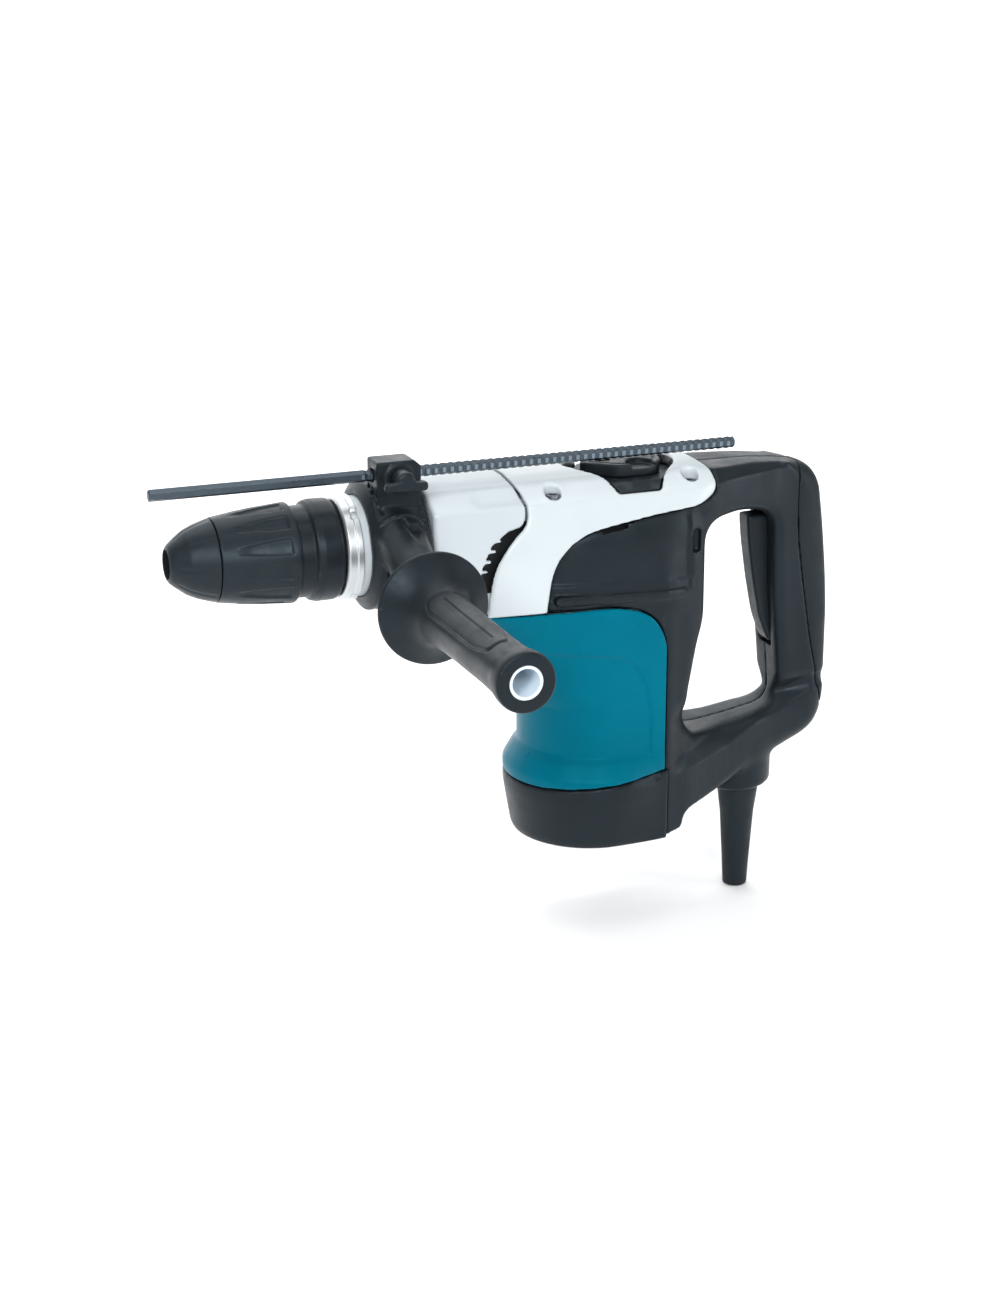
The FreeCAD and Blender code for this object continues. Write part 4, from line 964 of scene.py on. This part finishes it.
def clamp():
    grid = Grid((125, -113, -45), (167, 45, 62), 0.9)
    x, y, z = grid.axes
    radial = np.hypot(y, z)
    angle = np.arctan2(z, y)
    ring = soft_max(radial - 42.8, np.abs(x - 145.5) - 19.4, 2.5)
    ring = soft_max(ring, radial - 37.6 - np.maximum(x - 126.3, 0) * 1.5, 1.2)
    groove = soft_max(np.abs(x - 134.6) - 0.9, 41 - radial, 0.4)
    ring = cut(ring, groove, 0.5)
    teeth = 0.9 * np.abs(np.sin(angle * TEETH / 2))
    ring = ring + teeth * ramp(x, 158.5, 160) * ramp(radial, 37, 42)
    tower = box_field(x, y, z, (132, -29, 18), (162, -8, TOWER_TOP), 1.2)
    tower = soft_max(tower, (z - TOWER_TOP + (x - 157.5) * 0.9) * 0.74, 0.8)
    rib = np.minimum(np.abs((y - TOWER_Y) % 7 - 3.5), np.abs(z % 8 - 4))
    cell = soft_max(soft_max(1.1 - rib, x - 134.6, 0.4), 31 - z, 0.4)
    cell = soft_max(cell, soft_max(z - 43.5, np.abs(y - TOWER_Y) - 9, 0.4), 0.4)
    tower = cut(tower, cell, 0.4)
    boss = soft_max(np.hypot(x - SCREW_X, z - ROD_Z) - 9.3, np.abs(y + 27) - 3.2, 0.8)
    tower = soft_min(tower, boss, 0.6)
    field = soft_min(ring, tower, 1.5)
    neck = soft_max(ball_tube(x, y, z, NECK_ROOT, NECK_END, 16.6, 13.4), -110.8 - y, 1)
    scoop = ball_tube(x, y, z, NECK_ROOT + (7, -13, 13), NECK_ROOT + (5, -32, 8), 7.5, 3)
    field = soft_min(field, cut(neck, scoop, 3), 5)
    along = (NECK_END - NECK_ROOT) / np.linalg.norm(NECK_END - NECK_ROOT)
    run = progress(x, y, z, NECK_ROOT, along)
    away = sum((place - root) ** 2 for place, root in zip((x, y, z), NECK_ROOT)) - run ** 2
    collar = soft_max(np.sqrt(np.maximum(away, 0)) - 18.6, np.abs(run - 1.5) - 1.3, 0.8)
    collar = soft_max(collar, 41 - radial, 0.5)
    field = soft_min(field, collar, 0.8)
    seat = soft_max(np.hypot(x - GRIP_X, z - GRIP_Z) - 16, np.abs(y + 108.4) - 2.4, 1.2)
    field = soft_min(field, seat, 2)
    field = cut(field, radial - 33.35, 0.6)
    field = cut(field, np.hypot(y - ROD_Y, z - ROD_Z) - 4.5, 0.6)
    screw = np.maximum(np.hypot(x - SCREW_X, z - ROD_Z) - 3.25, y - ROD_Y)
    field = cut(field, screw, 0.4)
    bolt = np.maximum(np.hypot(x - GRIP_X, z - GRIP_Z) - 4.3, y + 44)
    field = cut(field, bolt, 0.4)
    shell("side_handle_base", "side_handle", "black_plastic", field, grid, 0.4, name="clamp")


def wing_screw():
    grid = Grid((SCREW_X - 16, -48, ROD_Z - 9), (SCREW_X + 16, -21.8, ROD_Z + 9), 0.5)
    x, y, z = grid.x - SCREW_X, grid.y, grid.z - ROD_Z
    radial = np.hypot(x, z)
    hub = soft_max(radial - 6.4, np.abs(y + 37.5) - 7, 3)
    bar = soft_max(np.abs(z + 3.2) - 2.9, np.abs(y + 42) - 3.6, 1.6)
    bar = soft_max(bar, np.abs(x) - 14.4, 3)
    shank = soft_max(radial - 3, np.abs(y + 29) - 6.9, 0.5)
    field = soft_min(soft_min(hub, bar, 1.0), shank, 0.5)
    shell("wing_screw", "wing_screw", "chuck_plastic", field, grid, 0.5)


# ---------------------------------------------------------------------- turned pieces


def from_middle(angle, count):
    """0 in the middle of each of count equal sectors, 1 at its edges."""
    return np.abs((angle * count / math.tau) % 1 - 0.5) * 2


def away_from(angle, centre):
    """The angle between two directions, from 0 to half a turn."""
    return np.abs((angle - centre + math.pi) % math.tau - math.pi)


def chuck():
    cap = eased([
        (0, 10.2), (1.2, 12.4), (5, 15.6), (12, 20.8), (19, 23.9), (29.5, 27.2), (29.5, 24),
        (38, 24), (38, 18.3), (20, 18.3), (20, 15.2), (6, 15.2), (6, 9.6), (0, 9.6),
    ], 1.2)

    def cap_relief(along, radius, angle):
        band = ramp(along, 4.5, 5.5) * ramp(-along, -28.8, -27.8) * ramp(radius, 12, 14)
        return -0.5 * band * ramp(from_middle(angle, 8), 0.82, 0.94)

    turned("nose_cap", "spindle", "chuck_plastic", cap, 128, lying, cap_relief, 1.0)

    outside = [(30, 27.4), (45, 29.7), (60, 31.4), (75, 32.6), (80, 32.8)]
    sleeve = eased(outside + [
        (81.5, 31.4), (81.5, 30.6), (65, 30.3), (65, 19), (62, 19), (62, 25.5), (30, 25.5),
    ], 1.0)

    def flutes(along, radius, angle):
        count = 12
        turn = from_middle(angle + math.tau / count / 4, count)
        width = 0.3 + 0.34 * ramp(along, 38, 70)
        inside = ramp(width - turn, -0.06, 0.12)
        window = ramp(along, 38, 50) * ramp(-along, -76.5, -74)
        above_outside = radius - np.interp(along, *zip(*outside))
        return -1.35 * inside * window * ramp(above_outside, -1.2, -0.6)

    turned("chuck_sleeve", "sleeve", "chuck_plastic", sleeve, 360, lying, flutes, 0.9, 60)

    ring = eased([
        (78, 30), (90.5, 30), (92, 32.4), (95, 33.1), (96, 33.4), (107, 33.2), (110, 31),
        (110, 18.1), (104, 18.1), (104, 26), (78, 26),
    ], 0.9)
    turned("chuck_ring", "spindle", "black_plastic", ring, 128, lying)

    bright = eased([
        (110.8, 22), (110.8, 32.2), (112, 33.9), (117, 33.9), (117.4, 34.8), (121, 34.8),
        (121, 33), (112, 33), (112, 22),
    ], 0.4)

    def notches(along, radius, angle):
        depth = 0
        for centre in (128, 232, -45):
            off = away_from(angle, math.radians(centre))
            depth = depth - 1.5 * ramp(-off, -0.12, -0.07)
        return depth * ramp(radius, 33.5, 34.2) * ramp(along, 116, 117)

    turned("barrel_ring", "housing", "bright_ring", bright, 256, lying, notches, 0.8)


def side_grip():
    low, high = node_box("side_grip")
    end = -low[1]
    flange = (high[0] - low[0]) / 2
    face = -GRIP_Y
    profile = eased([
        (face + 4, 4.1), (face + 3.6, 16), (face + 1.6, flange - 11),
        (face - 5.7, flange - 1.3, 0.5), (face - 4.6, flange, 0.5), (face - 2.6, flange - 0.4, 0.8),
        (face + 4.6, flange - 9.5, 6), (face + 10.5, 21, 5), (face + 18, 17.4, 4),
        (face + 60, 16.2, 8), (face + 112, 15.9, 8), (face + 133, 16.6), (end - 10, 18.1),
        (end - 4, 18.6), (end - 0.8, 18.1, 1), (end, 17, 1), (end, 10.5, 0.4),
        (face + 60, 10.5, 0.4), (face + 56, 4.1, 0.4),
    ], 3)

    def relief(along, radius, angle):
        arc = away_from(angle, math.radians(111)) * 16.5
        place = along - face
        taper = 12 - 4.5 * ramp(place, 95, 122) - 4 * ramp(-place, -30, -19)
        edge = soft_max(arc - taper, np.abs(place - 70) - 50, 4)
        outer = ramp(radius, 13, 14.5)
        panel = 0.55 * ramp(-edge, -0.3, 0.5) - 0.75 * np.exp(-(edge / 0.9) ** 2)
        groove = ramp(-arc, -1.9, -1.1) * ramp(place, 27, 30) * ramp(-place, -112, -108)
        return (panel - 0.9 * groove) * outer

    turned("side_grip", "side_grip", "black_plastic", profile, 230, to_grip, relief, 1.0)

    liner = eased([(face + 62, 8.4), (end - 0.6, 8.4), (end - 0.6, 10.35), (face + 62, 10.35)], 0.5)
    turned("grip_liner", "side_grip", "liner_plastic", liner, 96, to_grip)


def depth_rod():
    start, end = ROD_LOW[0], ROD_HIGH[0]
    corner_radius, notch_radius, tip_radius = 4.0, 3.6, 3.2
    tip = 0.8
    rows = [(start, tip_radius), (start + tip, corner_radius), (TOOTH_START, corner_radius)]
    place = TOOTH_START
    while place < end - TOOTH_PITCH:
        for share, radius in ((0.5, corner_radius), (0.6, notch_radius), (0.9, notch_radius),
                              (1, corner_radius)):
            rows.append((place + share * TOOTH_PITCH, radius))
        place += TOOTH_PITCH
    rows += [(end - tip, corner_radius), (end, tip_radius)]
    sides = 6
    verts = []
    for along, radius in rows:
        for corner in range(sides):
            turn = corner * math.tau / sides
            verts.append((along, ROD_Y + radius * math.sin(turn), ROD_Z + radius * math.cos(turn)))
    faces = bands(len(rows) - 1, len(rows), sides)
    faces.append(tuple(reversed(range(sides))))
    faces.append(tuple(range(len(verts) - sides, len(verts))))
    made = mesh_object("depth_rod_skin", verts, faces, 25)
    face_outwards(made.data)
    bevel = made.modifiers.new("edges", "BEVEL")
    bevel.width = 0.25 * MM
    bevel.segments = 2
    bevel.limit_method = "ANGLE"
    finish_piece(made, "depth_rod", "depth_rod", "lever_grey", look="rod_steel")


def cord_guard():
    low = GUARD_LOW[2]
    profile = eased([
        (low, 4.2), (low, 8.6), (low + 19, 9.6), (low + 56, 12), (low + 74, 14.4),
        (low + 78, 14.5), (low + 80, 13.5), (low + 80.5, 7.9), (low + 97, 7.9), (low + 97, 4.2),
    ], 1.5)

    def standing(along, across, up):
        return GUARD_X + across, up, along

    turned("cord_guard", "housing", "guard_rubber", profile, 96, standing)


# ------------------------------------------------------------------------ the controls


def mode_lever():
    """A round knob with a point, a rim groove, and a finger bar between two dishes."""
    low, _ = node_box("mode_lever")
    grid = Grid((low[0] - 1, -24, 20), (LEVER_X + 24, 24, 43), 0.7)
    x, y, z = grid.x - LEVER_X, grid.y, grid.z
    disc = np.hypot(x, y) - 22.6
    tip = eased([(-33, -3.5), (-28, -7.5), (-10, -20), (-10, 20), (-28, 7.5), (-33, 3.5)], 5)
    round_edge = soft_min(disc, plan(x, y, tip), 4)
    round_edge = soft_max(round_edge, np.abs(y) - 20.5, 3)
    knob = soft_max(round_edge, np.abs(z - 37.7) - 4.3, 1.2)
    rim = soft_max(np.abs(round_edge + 4.2) - 0.7, 41 - z, 0.5)
    knob = cut(knob, rim, 0.6)
    finger = soft_max(np.abs(y) - 3.6, np.abs(x - 4) - 15, 3)
    dish = soft_max(np.hypot(x - 4, np.abs(y) - 14) - 9.8, 38.5 - z, 1.5)
    knob = cut(knob, dish, 1.5)
    knob = soft_min(knob, soft_max(finger, np.abs(z - 38.3) - 3.7, 1.5), 1)
    button_room = box_field(x, y, z, (-22.4, -2.9, 36.8), (-12.6, 2.9, 50), 0.6)
    knob = cut(knob, button_room, 0.5)
    stem = soft_max(np.hypot(x, y) - 6, np.abs(z - 28) - 7.4, 0.5)
    field = soft_min(knob, stem, 0.6)
    shell("mode_lever", "mode_lever", "lever_grey", field, grid, 0.5)


def trigger():
    grid = Grid((405, -9, -101), (440, 9, -4), 0.8)
    x, y, z = grid.axes
    outer = eased([
        (407, -7), (408, -5.5), (431, -5.5), (435, -60), (436, -96), (431, -99.5), (426, -98),
        (418.5, -80), (412.8, -52), (408.6, -25),
    ], 6)
    field = soft_max(side(grid, outer), np.abs(y) - 8, 3)
    field = cut(field, np.hypot(x - PIVOT[0], z - PIVOT[2]) - 2.1, 0.4)
    shell("trigger", "trigger", "lever_grey", field, grid, 0.5)


# ------------------------------------------------------------------ set, light, camera


def stage():
    """A pale sheet that lies under the tool and bends up behind it."""
    floor = cad_low[2] / MM - 0.6
    size, bend_start, bend, top = 4200, 1500, 600, 3600
    rows = [(-size, floor)]
    for angle in np.linspace(0, math.pi / 2, 25):
        rows.append((bend_start + bend * math.sin(angle), floor + bend * (1 - math.cos(angle))))
    rows.append((bend_start + bend, top))
    verts, faces = [], []
    for y, z in rows:
        verts += [(-size, y, z), (size, y, z)]
    for row in range(len(rows) - 1):
        faces.append((2 * row, 2 * row + 1, 2 * row + 3, 2 * row + 2))
    made = mesh_object("backdrop", verts, faces)
    tree, shader, where = node_tree("paper")
    shade = mixed(tree, spread(tree, noise(tree, where, 3, 2), 0, 1), (0.93, 0.932, 0.935),
                  (0.95, 0.951, 0.952))
    tree.links.new(shade, shader.inputs["Base Color"])
    shader.inputs["Roughness"].default_value = 0.75
    made.data.materials.append(LOOK["paper"])


def lights():
    bpy.context.scene.view_settings.view_transform = "Standard"
    world = bpy.data.worlds.new("studio")
    bpy.context.scene.world = world
    world.use_nodes = True
    background = world.node_tree.nodes["Background"]
    background.inputs["Color"].default_value = (0.95, 0.98, 1.0, 1)
    background.inputs["Strength"].default_value = 0.42
    middle = (0.23, 0, -0.06)
    # Name, place, size, power and the spot that the light is aimed at.
    for name, place, size, power, spot in (
        ("key", (-1.2, -1.7, 1.2), (0.8, 0.8), 30, middle),
        ("front", (0.05, -2.2, 0.9), (0.7, 0.4), 22, middle),
        ("top", (0.2, -0.1, 1.9), (1.8, 1.4), 14, middle),
        ("side", (1.6, -0.9, 0.3), (0.4, 1.2), 8, middle),
        ("wash", (0.2, 0.9, 1.5), (2.6, 0.6), 40, (0.2, 2.1, 0.3)),
    ):
        lamp = bpy.data.lights.new(name, "AREA")
        lamp.shape = "RECTANGLE"
        lamp.size, lamp.size_y = size
        lamp.energy = power
        made = bpy.data.objects.new(name, lamp)
        bpy.context.scene.collection.objects.link(made)
        made.location = place
        direction = Vector(spot) - made.location
        made.rotation_euler = direction.to_track_quat("-Z", "Y").to_euler()


def camera():
    azimuth, elevation = math.radians(-21.3), math.radians(18.0)
    distance = 1.7
    target = Vector((0.2271, 0, -0.0835))
    lens = bpy.data.cameras.new("camera")
    made = bpy.data.objects.new("camera", lens)
    bpy.context.scene.collection.objects.link(made)
    back = Vector((math.sin(azimuth) * math.cos(elevation),
                   -math.cos(azimuth) * math.cos(elevation), math.sin(elevation)))
    made.location = target + back * distance
    made.rotation_mode = "QUATERNION"
    made.rotation_quaternion = (-back).to_track_quat("-Z", "Y")
    lens.sensor_width = 36
    lens.lens = 69.768
    lens.clip_start, lens.clip_end = 0.05, 30
    bpy.context.scene.camera = made


for maker in (chuck, side_grip, depth_rod, cord_guard, wing_screw, mode_lever, trigger,
              housing_cover, gear_housing, clamp, motor_housing, bottom_cover, handle,
              stage, lights, camera):
    maker()
